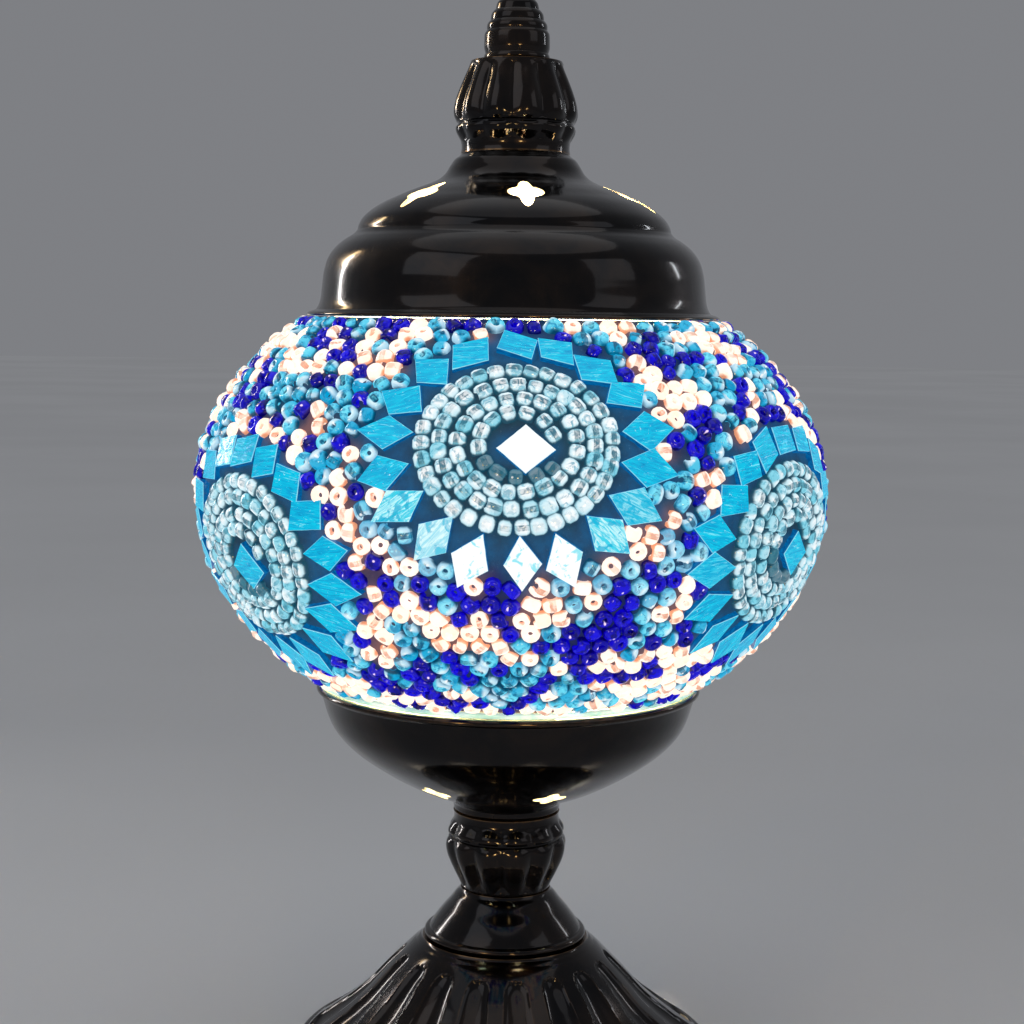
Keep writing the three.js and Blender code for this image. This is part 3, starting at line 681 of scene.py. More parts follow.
def make_cup():
    low, rim = level("lower_cup", 0), level("lower_cup", 1)
    rim_r, floor = 52.8, 80.4
    outer = spline([(14.2, 0), (14.8, 0.5), (14.9, 1.2), (15.1, 2)], 3, low)
    outer += spline([(15.6, 79.6), (17.6, 80.8), (20.2, 81.9), (23.6, 83.2), (27.1, 84.8), (32.5, 87.7),
                     (37.9, 91.1), (42.6, 94.5), (46.2, 97.9), (48.7, 101.2), (50.3, 104.8), (51.5, 108.8),
                     (52.1, rim - 2.2)], 7)
    outer += spline([(52.3, -1.9), (53.1, -1.5), (53.3, -0.8), (52.9, -0.2), (52.2, 0)], 3, rim)
    inner = [(rim_r - SHEET, rim)]
    inner += spline([(51.2, 110), (50.1, 107), (48.9, 103.7), (47.2, 101.1), (45, 98.8), (41.4, 95.5),
                     (37, 92.3), (31.7, 89), (26.4, 86.1), (22.9, 84.5), (19.4, 83.1), (16.9, 81.9),
                     (15.4, floor)], 5)
    inner += [(TUBE_BORE, floor), (TUBE_BORE, low)]
    bronze_piece("lower_cup", "root", outer + inner, 300, None, len(outer) - 1,
                 lambda made: cut_piercings(made, **CUP_PIERCINGS))


def make_cap():
    low, high = level("cap_dome", 0), level("cap_dome", 1)
    outer = spline([(55.2, 0), (56.1, 0.15), (56.2, 0.6), (55.5, 1.1), (54.5, 1.4)], 4, low)
    outer += spline([(53.8, 1.7), (53.1, 3), (52.6, 4.8), (52.2, 8.4), (51.9, 11), (51.5, 13), (50.8, 15.2),
                     (49.6, 17.3), (47.8, 19.3), (45.7, 20.9), (43.9, 22), (42.9, 23)], 7, low)
    outer += spline([(42.7, 23.3), (42.4, 24.6), (41.4, 26.4), (39.8, 28), (37.3, 29.8), (34.8, 31.2),
                     (31.9, 32.5), (29.2, 33.7), (26.4, 34.8), (23.2, 36), (20.8, 37.2), (19, 38.8),
                     (17.7, 40.9), (16.6, 42.5), (15.4, high - low - 0.6), (14.8, high - low)], 6, low)
    inner = [(STUD_BORE, high), (STUD_BORE, high - SHEET)]
    inner += spline([(13.9, high - SHEET), (16, 254.6), (17.6, 252), (20, 249.6), (25.3, 247.3),
                     (30.9, 245.1), (36.3, 242), (39.9, 239), (41.1, 236.3), (44.1, 233.6),
                     (47.4, 231), (49.2, 228.6), (50.3, 225), (50.8, 221.4), (51.2, 218), (52.4, 215.6),
                     (53.9, low)], 5)
    bronze_piece("cap_dome", "cap", outer + inner, 300, None, len(outer) + 1,
                 lambda made: cut_piercings(made, **CAP_PIERCINGS))


def make_finial():
    low, length = level("finial", 0), level("finial", 1) - level("finial", 0)
    bore_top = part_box("cap_stud")[1].z / MM + 0.3
    outline = []
    for ring in (
        [(8.7, 0), (8.9, 0.5), (8.9, 1), (8.7, 1.6)],
        [(8.5, 1.8), (8.7, 2.5), (8.9, 3.4), (8.9, 5.2), (8.8, 6.9), (8.4, 7.7)],
        [(8.1, 8), (8.2, 8.6), (8.1, 9.5), (7.6, 10.3)],
        [(7.2, 10.6), (7.2, 11.2), (7, 12.3), (6.4, 13.2)],
        [(5.9, 13.5), (5.8, 14.1), (5.5, 15.2), (4.9, 16)],
        [(4.4, 16.3), (4.2, 17), (3.8, 18.2), (3.2, 19)],
        [(2.7, 19.3), (2.6, 20), (2, 21.4), (1.1, length - 0.4), (0.05, length)],
    ):
        outline += spline(ring, 4, low)
    outline += [(0.05, bore_top), (STUD_BORE, bore_top), (STUD_BORE, low)]
    bronze_piece("finial", "cap", outline, 128)


make_foot()
make_collar()
make_knop("stem_knop", "root", TUBE_BORE, True)
make_cup()
make_cap()
make_knop("upper_knop", "cap", STUD_BORE, False)
make_finial()


# ---- the globe's surface -----------------------------------------------------------------------
# An oval of revolution, a little deeper below its widest line than above it.
GLOBE_R = 86.6 * MM
GLOBE_RISE = 63.5 * MM
GLOBE_DROP = 66 * MM
GLOBE_CENTRE = 166.3 * MM
MOSAIC_THICK = 3.9 * MM
HOT_HEIGHT = 157 * MM  # where the bulb's light comes through brightest
HOT_SPREAD = 17 * MM

mosaic_low, mosaic_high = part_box("mosaic_skin")[0].z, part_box("mosaic_skin")[1].z


def half_height(z):
    return np.where(z > GLOBE_CENTRE, GLOBE_RISE, GLOBE_DROP)


def unit(vectors):
    return vectors / np.linalg.norm(vectors, axis=-1, keepdims=True)


def globe_slope(points):
    x, y, z = np.moveaxis(points, -1, 0)
    return np.stack([x / GLOBE_R**2, y / GLOBE_R**2, (z - GLOBE_CENTRE) / half_height(z) ** 2], -1)


def globe_normal(points):
    return unit(globe_slope(points))


def onto_globe(points):
    """The points brought onto the outer surface along its normal."""
    for _ in range(3):
        slope = globe_slope(points)
        value = (slope * (points - [0, 0, GLOBE_CENTRE])).sum(-1) - 1
        points = points - slope * (value / (2 * (slope**2).sum(-1)))[..., None]
    return points


def globe_point(azimuth, z):
    r = GLOBE_R * np.sqrt(1 - ((z - GLOBE_CENTRE) / half_height(z)) ** 2)
    return np.stack([r * np.sin(azimuth), -r * np.cos(azimuth), z + 0 * azimuth], -1)


def along_globe(vectors, normal):
    """The vectors laid flat on the globe."""
    return unit(vectors - normal * (vectors * normal).sum(-1, keepdims=True))


def walk(start, heading, distance):
    """Where straight walks over the globe end, and which way they then head."""
    points, heading = np.array(start, float), np.array(heading, float)
    steps = 20
    stride = np.asarray(distance)[..., None] / steps
    for _ in range(steps):
        points = onto_globe(points + heading * stride)
        normal = globe_normal(points)
        heading = along_globe(heading, normal)
    return points, heading


def hotness(points):
    return np.exp(-(((points[..., 2] - HOT_HEIGHT) / HOT_SPREAD) ** 2))


# ---- mosaic layout -----------------------------------------------------------------------------
# azimuth in degrees and millimetres above the globe's widest ring; every other one is high
MEDALLIONS = ((1, 19), (57, -9), (119.5, 17), (182, -12), (244.5, 17), (307, -14))
RING_STRETCH = (1.04, 0.91)  # level and upright, of the threaded beads
STAR_STRETCH = (1.0, 0.9)  # of the tiles
TILES = 18
TILE_FIRST = math.radians(-88.6)
# length, width and distance from the medallion's middle; blocks are the squarer tiles over its top
TILE_SIZES = {False: (14.8, 9.6, 33), True: (8.8, 7.5, 31.6)}
DIAMOND_SIZE = (13.8 * MM, 12 * MM)
DIAMOND_SHIFT = (2.0 * MM, -1.6 * MM)
CLEAR_RINGS = (8.9 * MM, 13.4 * MM, 17.9 * MM, 22.4 * MM)
BEAD_PITCH = 4.95 * MM
ROW_PITCH = 4.3 * MM
FIELD_CLEAR = 34.8 * MM  # no loose bead lies nearer to a medallion's middle


class Medallion:
    """The local frame of a medallion: polar places on it become places on the globe."""

    def __init__(self, index, degrees, rise):
        self.high = index % 2 == 0
        azimuth = math.radians(degrees)
        self.centre = globe_point(np.array(azimuth), np.array(GLOBE_CENTRE + rise * MM))
        self.normal = globe_normal(self.centre)
        self.east = np.array([math.cos(azimuth), math.sin(azimuth), 0.0])
        self.north = np.cross(self.normal, self.east)
        self.first = TILE_FIRST + (0 if index == 0 else random.uniform(0, TURN / TILES))

    def at(self, distance, angle, stretch):
        """Points, outward headings and normals at polar places on a flattened disc."""
        level_part, upright_part = stretch[0] * np.cos(angle), stretch[1] * np.sin(angle)
        distance = distance * np.hypot(level_part, upright_part)
        heading = unit(level_part[..., None] * self.east + upright_part[..., None] * self.north)
        points, heading = walk(np.broadcast_to(self.centre, heading.shape), heading, distance)
        return points, heading, globe_normal(points)


def lay_tiles(medallion):
    """One dict for each tile: middle, axis, normal, half length and width, shear, light, clear.

    shear is None for a rhombus that points at the medallion's middle; a block lies level."""
    tiles = []
    for index in range(TILES):
        angle = medallion.first + index * TURN / TILES + random.normal(0, math.radians(1.1))
        block = math.radians(26) < angle % TURN < math.radians(160)
        turn = random.normal(0, math.radians(8 if block else 3))
        long, wide, ring = (MM * size for size in TILE_SIZES[block])
        ring += random.normal(0, 0.4 * MM)
        point, heading, normal = medallion.at(np.array(ring), np.array(angle), STAR_STRETCH)
        ahead = along_globe(medallion.east, normal) if block else heading
        axis = math.cos(turn) * ahead + math.sin(turn) * np.cross(normal, ahead)
        tiles.append(dict(middle=point, axis=axis, normal=normal,
                          long=long / 2 * random.normal(1, 0.03), wide=wide / 2 * random.normal(1, 0.04),
                          shear=random.choice([-1, 1]) * random.uniform(0.3, 1.1) * MM if block else None,
                          light=1.0 if medallion.high else 0.3, clear=0.0))
    shift = medallion.east * DIAMOND_SHIFT[0] + medallion.north * DIAMOND_SHIFT[1]
    middle = onto_globe(medallion.centre + shift)
    normal = globe_normal(middle)
    # the diamond: clear glass, painted white with the bulb's light on the high medallions
    tiles.append(dict(middle=middle, axis=along_globe(medallion.east, normal), normal=normal,
                      long=DIAMOND_SIZE[0] / 2, wide=DIAMOND_SIZE[1] / 2, shear=None, light=0.3,
                      clear=1.0 if medallion.high else 0.0))
    return tiles


def lay_rings(medallion, diamond):
    """Clear beads threaded round the diamond: middles, hole directions, normals and which are in
    the diamond's shade."""
    angles, distances = [], []
    for ring in CLEAR_RINGS:
        phase, wobble = random.uniform(0, TURN), random.uniform(0.15, 0.4) * MM
        count = round(TURN * ring / (4.18 * MM))
        steps = np.cumsum(random.normal(1, 0.055, count))
        angle = steps / steps[-1] * TURN + phase
        angles.append(angle)
        distances.append(ring + wobble * np.sin(2 * angle + phase) + random.normal(0, 0.1 * MM, count))
    points, heading, normal = medallion.at(np.concatenate(distances), np.concatenate(angles), RING_STRETCH)
    discs, radii = tile_discs([diamond])
    room = np.linalg.norm(points[:, None] - discs, axis=2) - radii
    points = onto_globe(push_out(points, discs, radii + 2.2 * MM))
    kept = room.min(1) > 1.5 * MM
    shaded = kept & (np.concatenate(distances) < 10 * MM) & (np.sin(np.concatenate(angles)) < -0.2)
    return points[kept], np.cross(normal, heading)[kept], normal[kept], shaded[kept]


def tile_discs(tiles):
    """Discs that fill each tile's outline, as (middles, radii)."""
    middles, radii = [], []
    for tile in tiles:
        long, wide = tile["long"], tile["wide"]
        side = np.cross(tile["normal"], tile["axis"])
        if tile["shear"] is None:
            slope = wide / math.hypot(wide, long)
            places = [(share * long, 0, long * (1 - abs(share)) * slope)
                      for share in (0, 0.28, -0.28, 0.54, -0.54, 0.75, -0.75, 0.91, -0.91)]
        else:
            places = [(u * long, v * wide, 0.5 * wide) for u in (-0.55, 0, 0.55) for v in (-0.5, 0.5)]
            places += [(u * long, v * wide, 0.2 * wide) for u in (-0.82, 0.82) for v in (-0.8, 0.8)]
        for u, v, radius in places:
            middles.append(tile["middle"] + tile["axis"] * u + side * v)
            radii.append(radius)
    return np.array(middles), np.array(radii)


def push_out(points, middles, reach):
    """Moves points straight away from middles until they are at least reach from them."""
    gap = points[:, None, :] - middles[None, :, :]
    distance = np.maximum(np.linalg.norm(gap, axis=2), 1e-9)
    push = np.clip(reach - distance, 0, None)
    return points + (gap / distance[..., None] * push[..., None]).sum(1)


def lay_field(medallions, tiles):
    """Middles of the loose beads: rows at the rims that grow irregular towards the medallions."""
    sweep = np.linspace(-1.2, 1.2, 2400)
    height = GLOBE_CENTRE + np.where(sweep > 0, GLOBE_RISE, GLOBE_DROP) * np.sin(sweep)
    radius = GLOBE_R * np.cos(sweep)
    length = np.concatenate([[0], np.cumsum(np.hypot(np.diff(radius), np.diff(height)))])
    margin = 0.7 * MM
    start, end = np.interp([mosaic_low + margin, mosaic_high - margin], height, length)
    rows = round((end - start) / ROW_PITCH)
    points = []
    for row in range(rows + 1):
        along = start + (end - start) * row / rows
        z, r = np.interp(along, length, height), np.interp(along, length, radius)
        count = int(TURN * r / BEAD_PITCH)
        azimuth = (np.arange(count) + 0.5 * (row % 2)) * TURN / count + random.uniform(0, 0.01)
        points.append(globe_point(azimuth, np.full(count, z)))
    points = np.vstack(points)
    from_rim = np.minimum(points[:, 2] - mosaic_low, mosaic_high - points[:, 2])
    unrest = np.clip(from_rim / (26 * MM), 0.12, 1)[:, None]
    points = onto_globe(points + random.normal(0, 0.9 * MM, points.shape) * unrest)

    centres = np.array([m.centre for m in medallions])
    discs, radii = tile_discs(tiles)
    bead_r = 2.35 * MM
    inside = np.linalg.norm(points[:, None] - centres, axis=2).min(1) < FIELD_CLEAR - 1.5 * MM
    covered = (np.linalg.norm(points[:, None] - discs, axis=2) < radii + 0.2 * bead_r).any(1)
    points = points[~inside & ~covered]
    for _ in range(45):
        squared = (points**2).sum(1)
        distance = np.sqrt(np.maximum(squared[:, None] + squared[None] - 2 * points @ points.T, 0))
        np.fill_diagonal(distance, 1)
        first, second = np.nonzero(distance < BEAD_PITCH)
        gap = points[first] - points[second]
        push = (BEAD_PITCH - distance[first, second]) * 0.24 / np.maximum(distance[first, second], 1e-9)
        move = np.zeros_like(points)
        np.add.at(move, first, gap * push[:, None])
        points = points + move
        points = push_out(points, discs, radii + bead_r * 0.95)
        points = push_out(points, centres, np.full(len(centres), FIELD_CLEAR))
        points = onto_globe(points)
        points[:, 2] = np.clip(points[:, 2], mosaic_low + margin, mosaic_high - margin)
    crowded = np.linalg.norm(points[:, None] - discs, axis=2) < radii + bead_r * 0.62
    points = points[~crowded.any(1)]
    kept = []
    for point in points:
        if not kept or np.linalg.norm(np.array(kept) - point, axis=1).min() > BEAD_PITCH * 0.86:
            kept.append(point)
    return np.array(kept)


def drift_field(points, wavelength):
    """A smooth random value over the globe, about -1 to 1."""
    waves = unit(random.normal(size=(10, 3))) * TURN / (wavelength * random.uniform(0.8, 1.4, (10, 1)))
    shifts = random.uniform(0, TURN, 10)
    return np.cos(points @ waves.T + shifts).sum(1) / math.sqrt(5) / 2


def field_kinds(points):
    """0 cream, 1 aqua or 2 cobalt for each loose bead, in drifts of one colour."""
    weights = []
    for bias in (0.1, 0.1, 0.0):
        weights.append(drift_field(points, 20 * MM) + bias + random.normal(0, 0.55, len(points)))
    return np.argmax(np.array(weights), 0)


# ---- beads -------------------------------------------------------------------------------------
BEAD_SEGMENTS = 14
BEAD_SECTION = 9
BEAD_DEPTH = 1.95 * MM  # a bead's middle below the outer surface

def bead_mesh(beads):
    """One mesh of beads. beads holds arrays: middle, normal, lie (the hole's direction over the
    globe), tilt of the hole from the normal, radius, half (length), mix."""
    section = np.arange(BEAD_SECTION) * TURN / BEAD_SECTION + math.pi / BEAD_SECTION
    square = 0.78
    in_out = np.sign(np.cos(section)) * np.abs(np.cos(section)) ** square
    up_down = np.sign(np.sin(section)) * np.abs(np.sin(section)) ** square
    turn = np.arange(BEAD_SEGMENTS) * TURN / BEAD_SEGMENTS
    normal, lie, tilt = beads["normal"], beads["lie"], beads["tilt"]
    radius, half = beads["radius"], beads["half"]
    side = np.cross(normal, lie)
    axis = np.cos(tilt)[:, None] * normal + np.sin(tilt)[:, None] * lie
    third = np.cross(axis, side)
    hole = HOLE_SHARE * radius
    from_axis = ((radius + hole) / 2)[:, None] + ((radius - hole) / 2)[:, None] * in_out
    along_axis = half[:, None] * up_down
    spoke = np.cos(turn)[None, :, None] * side[:, None, :] + np.sin(turn)[None, :, None] * third[:, None, :]
    offset = from_axis[:, :, None, None] * spoke[:, None] + along_axis[:, :, None, None] * axis[:, None,
                                                                                                None, :]
    count, per = len(radius), BEAD_SECTION * BEAD_SEGMENTS
    offset = offset.reshape(count, per, 3)
    quads = loop_quads(BEAD_SECTION, BEAD_SEGMENTS)[None] + (np.arange(count) * per)[:, None, None]
    mesh = mesh_of((beads["middle"][:, None] + offset).reshape(-1, 3), quads.reshape(-1, 4))
    scale = radius[:, None]
    along = (offset * lie[:, None]).sum(2) / scale
    across = (offset * side[:, None]).sum(2) / scale
    length = np.repeat((half * np.sin(tilt) / radius)[:, None], per, 1)
    reach = length + np.abs(np.cos(tilt))[:, None]
    put_attribute(mesh, "bead_hole", np.stack([along, across, length], -1).reshape(-1, 3))
    put_attribute(mesh, "bead_rise", ((offset * normal[:, None]).sum(2) / scale).ravel())
    put_attribute(mesh, "bead_brim", np.cbrt(np.abs(along / reach) ** 3 + np.abs(across) ** 3).ravel())
    put_attribute(mesh, "bead_mix", np.repeat(beads["mix"], per, 0))
    return mesh


def loose_beads(points):
    """Beads that lie as they fell: many with the hole outward, the others on their sides."""
    count = len(points)
    normal = globe_normal(points)
    lie = unit(np.cross(normal, unit(random.normal(size=(count, 3)))))
    outward = random.random(count) < 0.52
    facing, lying = np.abs(random.normal(0, 0.22, count)), np.abs(random.normal(0, 0.22, count))
    tilt = np.where(outward, facing, math.pi / 2 - lying)
    radius = np.clip(random.normal(2.37, 0.12, count), 2.0, 2.6) * MM
    half = np.clip(random.normal(1.82, 0.16, count), 1.4, 2.2) * MM
    mix = np.stack([random.random(count), random.random(count), hotness(points)], 1)
    middle = points - normal * (BEAD_DEPTH + random.normal(0, 0.16 * MM, count))[:, None]
    return dict(middle=middle, normal=normal, lie=lie, tilt=tilt, radius=radius, half=half, mix=mix)


def threaded_beads(points, lie, normal, shaded, high):
    """The clear beads of a medallion, holes in line."""
    count = len(points)
    lie = unit(lie + 0.09 * random.normal(size=(count, 3)))
    lie = along_globe(lie, normal)
    tilt = np.full(count, math.pi / 2) - random.normal(0, 0.1, count)
    radius = np.clip(random.normal(2.26, 0.09, count), 2.0, 2.4) * MM
    half = np.clip(random.normal(2.0, 0.14, count), 1.6, 2.25) * MM
    # painted light: beads of the high medallions take the bulb's full brightness and whiter bodies, those of the low
    # ones a fifth of it; beads in the diamond's shade carry painted shade
    near = hotness(points) if high else 0.2 * hotness(points)
    near = np.where(shaded, -0.75, near)
    chance = 0.9 * random.random(count) if high else 0.35 + 0.65 * random.random(count)
    mix = np.stack([chance, random.random(count), near], 1)
    middle = points - normal * (BEAD_DEPTH + random.normal(0, 0.12 * MM, count))[:, None]
    return dict(middle=middle, normal=normal, lie=lie, tilt=tilt, radius=radius, half=half, mix=mix)


def joined(groups):
    return {name: np.concatenate([g[name] for g in groups]) for name in groups[0]}


# ---- tiles -------------------------------------------------------------------------------------
TILE_EDGE_POINTS = 7
TILE_TOP = -0.25 * MM  # a tile's face above the outer surface at its middle
TILE_BEVEL = 0.3 * MM
TILE_DEEP = 3.6 * MM


def tile_outline(tile):
    """A hand-cut rhombus or block in the tile's plane, its edges nibbled by the cutter."""
    long, wide, shear = tile["long"], tile["wide"], tile["shear"]
    if shear is None:
        corners = np.array([(long, 0), (0, wide), (-long, 0), (0, -wide)])
    else:
        corners = np.array([(long, wide + shear), (-long, wide - shear), (-long, -wide - shear),
                            (long, -wide + shear)])
    corners += random.normal(0, 0.34 * MM, corners.shape) * (0.4 if tile["clear"] > 0 else 1)
    points = []
    for corner, following in zip(corners, np.roll(corners, -1, 0)):
        share = np.linspace(0, 1, TILE_EDGE_POINTS, endpoint=False)[:, None]
        run = corner + (following - corner) * share
        run[1:] *= 1 - np.abs(random.normal(0, 0.008, (TILE_EDGE_POINTS - 1, 1)))
        points.append(run)
    return np.vstack(points)


def tile_mesh(tiles):
    """Bevelled flat prisms: rings of points from the buried edge up over the bevel to the middle."""
    points, faces, places, mixes, tops = [], [], [], [], []
    for tile in tiles:
        outline = tile_outline(tile)
        count = len(outline)
        side = np.cross(tile["normal"], tile["axis"])
        lean = random.normal(0, 0.02, 2)
        lift = TILE_TOP + random.normal(0, 0.12 * MM)
        rings = [(1.02, -TILE_DEEP, 0), (1.0, -TILE_BEVEL * 1.4, 0), (1.0, -TILE_BEVEL, 0.5), (0.955, 0, 1),
                 (0.7, 0, 1), (0.35, 0, 1), (0.02, 0, 1)]
        ripple = random.normal(0, 0.03 * MM, (len(rings), count))
        start = len(points)
        chance = random.random()
        near = tile["light"] * hotness(tile["middle"])
        for ring, (scale, drop, top) in enumerate(rings):
            flat = outline * scale
            height = lift + drop + (flat @ lean) * (drop > -TILE_DEEP) + ripple[ring] * (0.2 < scale < 0.9)
            for (u, v), h in zip(flat, height):
                points.append(tile["middle"] + u * tile["axis"] + v * side + h * tile["normal"])
                places.append((u / MM + 40 * chance, v / MM, h / MM + 60 * chance))
                mixes.append((chance, near, tile["clear"]))
                tops.append(top)
        for ring in range(len(rings) - 1):
            low, high = start + ring * count, start + (ring + 1) * count
            faces += [(low + i, low + (i + 1) % count, high + (i + 1) % count,
                       high + i) for i in range(count)]
        faces.append(tuple(start + (len(rings) - 1) * count + i for i in range(count)))
        faces.append(tuple(start + i for i in reversed(range(count))))
    mesh = bpy.data.meshes.new("tiles")
    mesh.from_pydata([tuple(p) for p in points], [], faces)
    put_attribute(mesh, "tile_place", places)
    put_attribute(mesh, "tile_mix", mixes)
    put_attribute(mesh, "tile_top", tops)
    return mesh


# ---- grout -------------------------------------------------------------------------------------
GROUT_DEPTH = 1.75 * MM
GROUT_COLUMNS = 480
GROUT_ROWS = 100
# painted glow: the colour of the light that the glass of each kind throws into the grout beside it
GROUT_TINTS = {"cream": srgb(132, 92, 88), "aqua": srgb(8, 66, 98), "cobalt": srgb(14, 26, 88),
               "clear": srgb(10, 58, 78), "tile": srgb(0, 82, 130)}


def globe_rows(depth, low, high, rows):
    """(radius, height) down the section at a depth below the outer surface."""
    sweep = np.linspace(-1.3, 1.3, 3000)
    rise = np.where(sweep > 0, GLOBE_RISE, GLOBE_DROP)
    r, z = GLOBE_R * np.cos(sweep), rise * np.sin(sweep)
    nr, nz = np.cos(sweep) / GLOBE_R, np.sin(sweep) / rise
    size = np.hypot(nr, nz)
    r, z = r - depth * nr / size, GLOBE_CENTRE + z - depth * nz / size
    first, last = np.interp([low, high], z, np.arange(len(z)))
    at = np.linspace(first, last, rows)
    return np.stack([np.interp(at, np.arange(len(z)), r), np.interp(at, np.arange(len(z)), z)], 1)


def make_grout(spots, tints):
    """The plaster bed. spots are the middles of beads and tiles, and tints their colours."""
    outer = globe_rows(GROUT_DEPTH, mosaic_low, mosaic_high, GROUT_ROWS)
    inner = globe_rows(MOSAIC_THICK, mosaic_low, mosaic_high, 30)[::-1]
    mesh = turned(np.vstack([outer, inner]) / MM, GROUT_COLUMNS)
    count = len(mesh.vertices)
    points = np.zeros(count * 3)
    mesh.vertices.foreach_get("co", points)
    points = points.reshape(-1, 3)
    colours = np.zeros((count, 4), np.float32)
    for start in range(0, count, 4000):
        some = points[start:start + 4000]
        distance = np.linalg.norm(some[:, None] - spots[None], axis=2)
        weight = np.exp(-((distance / (3.1 * MM)) ** 2)) + 1e-12
        colours[start:start + 4000] = weight @ tints / weight.sum(1, keepdims=True)
    attribute = mesh.attributes.new("grout_tint", "FLOAT_COLOR", "POINT")
    attribute.data.foreach_set("color", colours.ravel())
    outer_count = GROUT_ROWS * GROUT_COLUMNS
    normals = globe_normal(points)
    bumps = random.normal(0, 0.09 * MM, outer_count)
    points[:outer_count] += normals[:outer_count] * bumps[:, None]
    mesh.vertices.foreach_set("co", points.astype(np.float32).ravel())
    piece("mosaic_grout", mesh, [GROUT], "globe", ["mosaic_skin"], crisp=60)


def make_mosaic():
    medallions = [Medallion(i, *place) for i, place in enumerate(MEDALLIONS)]
    tiles = [tile for m in medallions for tile in lay_tiles(m)]
    rings = [lay_rings(m, tiles[(i + 1) * (TILES + 1) - 1]) for i, m in enumerate(medallions)]
    loose = lay_field(medallions, tiles)
    kinds = field_kinds(loose)
    groups = {"clear": [threaded_beads(*ring, m.high) for m, ring in zip(medallions, rings)]}
    for number, kind in enumerate(("cream", "aqua", "cobalt")):
        groups[kind] = [loose_beads(loose[kinds == number])]
    spots, tints = [], []
    for kind, group in groups.items():
        beads = joined(group)
        beads = {name: values[np.argsort(np.arctan2(beads["middle"][:, 0], -beads["middle"][:, 1]))]
                 for name, values in beads.items()}
        spots.append(beads["middle"])
        tints.append(np.tile(GROUT_TINTS[kind], (len(beads["middle"]), 1)))
        piece(f"beads_{kind}_1", bead_mesh(beads), [BEADS[kind]], "globe", crisp=80)
    for index, medallion in enumerate(medallions):
        some = tiles[index * (TILES + 1):(index + 1) * (TILES + 1)]
        piece(f"medallion_tiles_{index + 1}", tile_mesh(some), [TILE], "globe", crisp=30)
    middles, _ = tile_discs(tiles)
    spots.append(middles)
    tints.append(np.tile(GROUT_TINTS["tile"], (len(middles), 1)))
    make_grout(np.vstack(spots), np.vstack(tints))


make_mosaic()


# ---- glass and small parts ---------------------------------------------------------------------
def make_globe_glass():
    low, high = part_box("glass_globe")[0].z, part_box("glass_globe")[1].z
    outer = globe_rows(4.2 * MM, low, high, 48)
    inner = globe_rows(6.8 * MM, low, high, 48)[::-1]
    turned_piece("glass_globe", "globe", "clear_glass", [GLOBE_GLASS], np.vstack([outer, inner]) / MM, 128)


def make_bulb_glass():
    """The clear pear-shaped envelope, a thin shell open at the neck."""
    low, top = level("bulb_envelope", 0), level("bulb_envelope", 1)
    ball, wall = 22.5, 0.8
    centre = top - ball
    join = math.radians(-44)
    side = spline([(6.3, low), (6.4, low + 1.6), (6.9, low + 3.8), (8.3, low + 7.6), (11.6, low + 13.5),
                   (ball * math.cos(join), centre + ball * math.sin(join))], 5)[:-1]
    sweep = np.linspace(join, math.pi / 2, 40)
    side += [(max(ball * math.cos(a), 0.02), centre + ball * math.sin(a)) for a in sweep]
    inside = [(max(r - wall * min(1, r / 3), 0.01), min(z, centre + ball - wall)) for r, z in side]
    turned_piece("bulb_envelope", "bulb", "clear_glass", [BULB_GLASS], side + inside[::-1], 96)


def make_sleeve():
    """Lampholder sleeve with grip ribs round it."""
    low, high = level("holder_sleeve", 0), level("holder_sleeve", 1)
    outer = [(13, low), (13.5, low + 0.5)] + [(13.5, low + 1 + i * 0.8) for i in range(29)]
    outer += spline([(13.4, high - 0.9), (13, high - 0.3), (12.3, high)], 3)
    inner = [(8.9, high), (8.7, high - 0.3), (8.7, high - 2.2), (12.2, high - 3.4), (12.2, low)]

    def ribs(azimuth, radius, height):
        wave = 0.5 + 0.5 * np.cos(36 * azimuth)
        return np.where(radius > 13.2, 0.35 * wave * soft_gate(height, low + 2, high - 4, 1.5), 0.0)

    turned_piece("holder_sleeve", "root", "black_phenolic", [PHENOLIC], outer + inner, 288, ribs)


def make_gasket():
    low, high = level("rim_gasket", 0), level("rim_gasket", 1)
    outline = [(49.4, low), (52.1, low), (52.4, low + 0.25), (52.4, high - 0.3), (52.1, high), (49.7, high),
               (49.4, high - 0.3)]
    turned_piece("rim_gasket", "root", "clear_silicone", [SILICONE], outline, 160)


def make_felt():
    """Felt disc with a slightly frayed edge."""
    high, r = level("felt_pad", 1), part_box("felt_pad")[1].x / MM
    fray = random.normal(0, 0.12, 360)
    outline = [(0.02, 0)] + [(r * s, 0) for s in (0.25, 0.5, 0.75, 0.98)] + [(r, 0.45), (r, high - 0.35)]
    outline += [(r * s, high) for s in (0.98, 0.75, 0.5, 0.25)] + [(0.02, high)]

    def edge(azimuth, radius, height):
        return np.where(radius > 0.99 * r, 0.2 + 0 * radius + fray[None, :], 0.0)

    turned_piece("felt_pad", "root", "felt", [FELT], outline, 360, edge)


make_globe_glass()
make_bulb_glass()
make_sleeve()
make_gasket()
make_felt()

NODE_FINISHES = {
    STEEL: ["base_plate", "base_washer", "base_nut", "threaded_tube", "cup_washer", "cup_nut", "cap_washer",
            "cap_nut", "cap_stud", "bulb_contact_tip", *(f"terminal_screw_{i}" for i in range(1, 5))],
    BRASS: ["holder_shell", "centre_contact", "side_contact", "bulb_screw_shell"],
    PHOSPHOR: [f"bulb_filament_{i}" for i in range(1, 5)],
    RUBBER: ["cable_grommet"], CERAMIC: ["terminal_block"], PHENOLIC: ["holder_core"],
    WIRE_BROWN: ["wire_live"], WIRE_BLUE: ["wire_neutral"], BLACK_GLASS: ["bulb_insulator"],
    BULB_GLASS: ["bulb_stem"],
}
for finish, names in NODE_FINISHES.items():
    for name in names:
        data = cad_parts[name].data
        data.materials.clear()
        data.materials.append(finish)
        smooth(data, 32)

for material in [GROUT, TILE, PHOSPHOR, SILICONE, *BEADS.values()]:
    material.cycles.emission_sampling = "NONE"


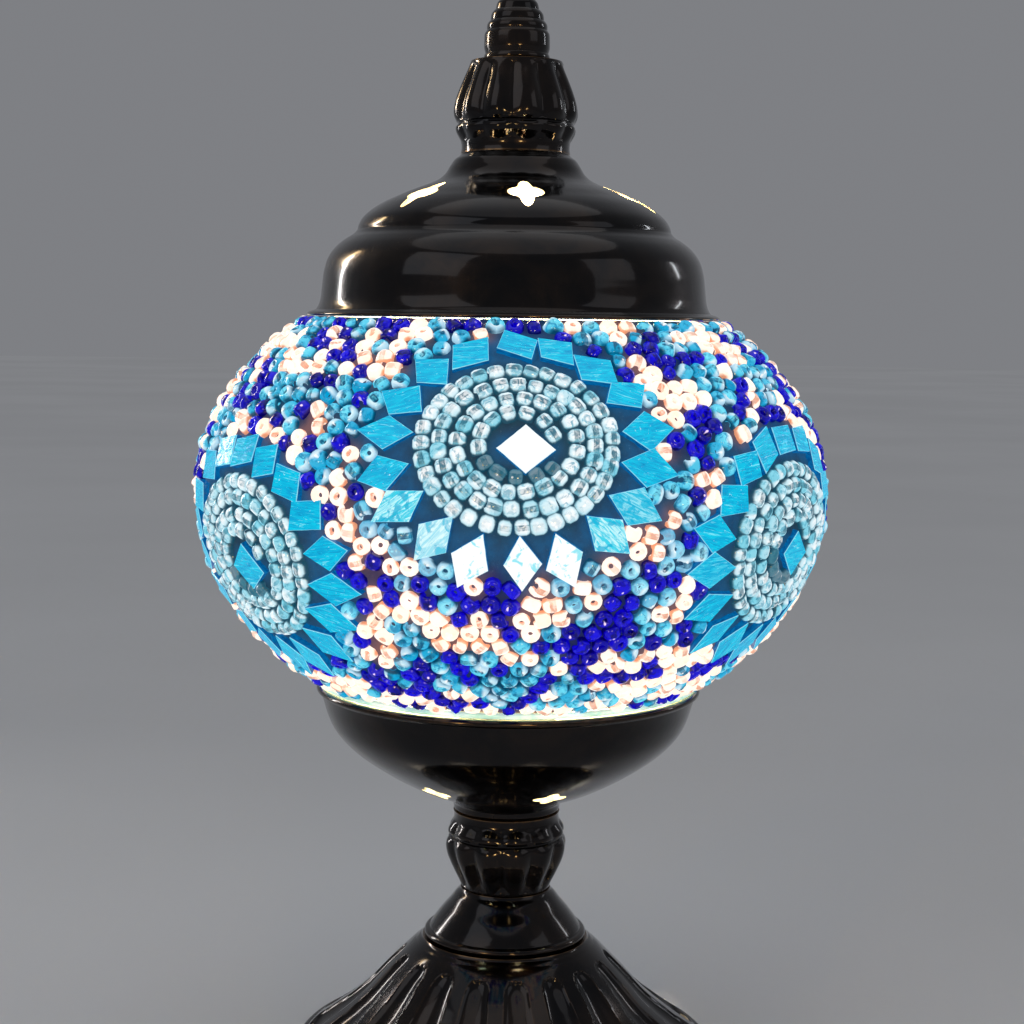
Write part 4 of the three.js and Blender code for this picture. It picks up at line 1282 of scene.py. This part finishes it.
# ---- floor, lights and world -------------------------------------------------------------------
def make_floor():
    m = Recipe("pale_floor")
    cloud = m.noise(1.6, detail=3)
    colour = m.mix(m.step(cloud, 0.3, 0.7), srgb(197, 198, 200), srgb(203, 204, 206))
    material = m.made(Base_Color=colour, Roughness=0.8, Specular_IOR_Level=0.0,
                      Normal=m.bump(m.noise(260, detail=3), 0.00004))
    reach, sides = 9.0, 96
    ring = [(reach * math.cos(i * TURN / sides), reach * math.sin(i * TURN / sides),
             0.0) for i in range(sides)]
    mesh = bpy.data.meshes.new("floor")
    mesh.from_pydata(ring, [], [tuple(range(sides))])
    mesh.materials.append(material)
    placed("floor", mesh)


def area_light(name, place, target, size, power, colour, spread=180):
    """A soft box; a spread under 180 degrees keeps its light off the floor."""
    data = bpy.data.lights.new(name, "AREA")
    data.spread = math.radians(spread)
    data.shape = "RECTANGLE"
    data.size, data.size_y = size
    data.energy = power
    data.color = colour
    light = placed(name, data)
    back = Vector(place) - Vector(target)
    light.rotation_euler = back.to_track_quat("Z", "Y").to_euler()
    light.location = place


def make_lights():
    middle = (0, 0, 0.15)
    area_light("key_left", (-1.1, -0.9, 1.1), middle, (1.1, 1.1), 3.2, (0.92, 0.96, 1.0))
    area_light("fill_right", (1.3, -0.7, 0.9), middle, (0.8, 0.8), 1.2, (0.9, 0.95, 1.0))
    area_light("edge_left", (-0.8, 0.5, 0.32), (0, 0, 0.1), (0.035, 0.6), 0.2, (1.0, 0.98, 0.96), 50)
    area_light("edge_right", (0.9, 0.4, 0.5), (0, 0, 0.25), (0.03, 0.25), 0.03, (0.9, 0.95, 1.0), 50)
    area_light("warm_left", (-0.5, 0.32, 0.46), (0, 0, 0.29), (0.04, 0.2), 0.045, (1.0, 0.7, 0.36), 40)
    for side in (-0.47, 0.17):
        area_light("warm_front", (side, -0.92, 0.14), (0, 0, 0.1), (0.08, 0.12), 0.13, (1.0, 0.66, 0.24), 50)
    sun = bpy.data.lights.new("ceiling", "SUN")
    sun.energy = 0.5
    sun.angle = math.radians(70)
    placed("ceiling", sun)
    bulb = bpy.data.lights.new("bulb_light", "POINT")
    bulb.energy = 7.0
    bulb.color = (1.0, 0.84, 0.6)
    bulb.shadow_soft_size = 0.007
    low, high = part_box("bulb_envelope")
    placed("bulb_light", bulb).location = (0, 0, high.z - (high.x - low.x) / 2)


def make_world():
    world = bpy.data.worlds.new("studio")
    world.use_nodes = True
    background = world.node_tree.nodes["Background"]
    background.inputs["Color"].default_value = srgb(196, 198, 204)
    background.inputs["Strength"].default_value = 0.38
    bpy.context.scene.world = world


make_floor()
make_lights()
make_world()
bpy.context.scene.view_settings.view_transform = "Standard"
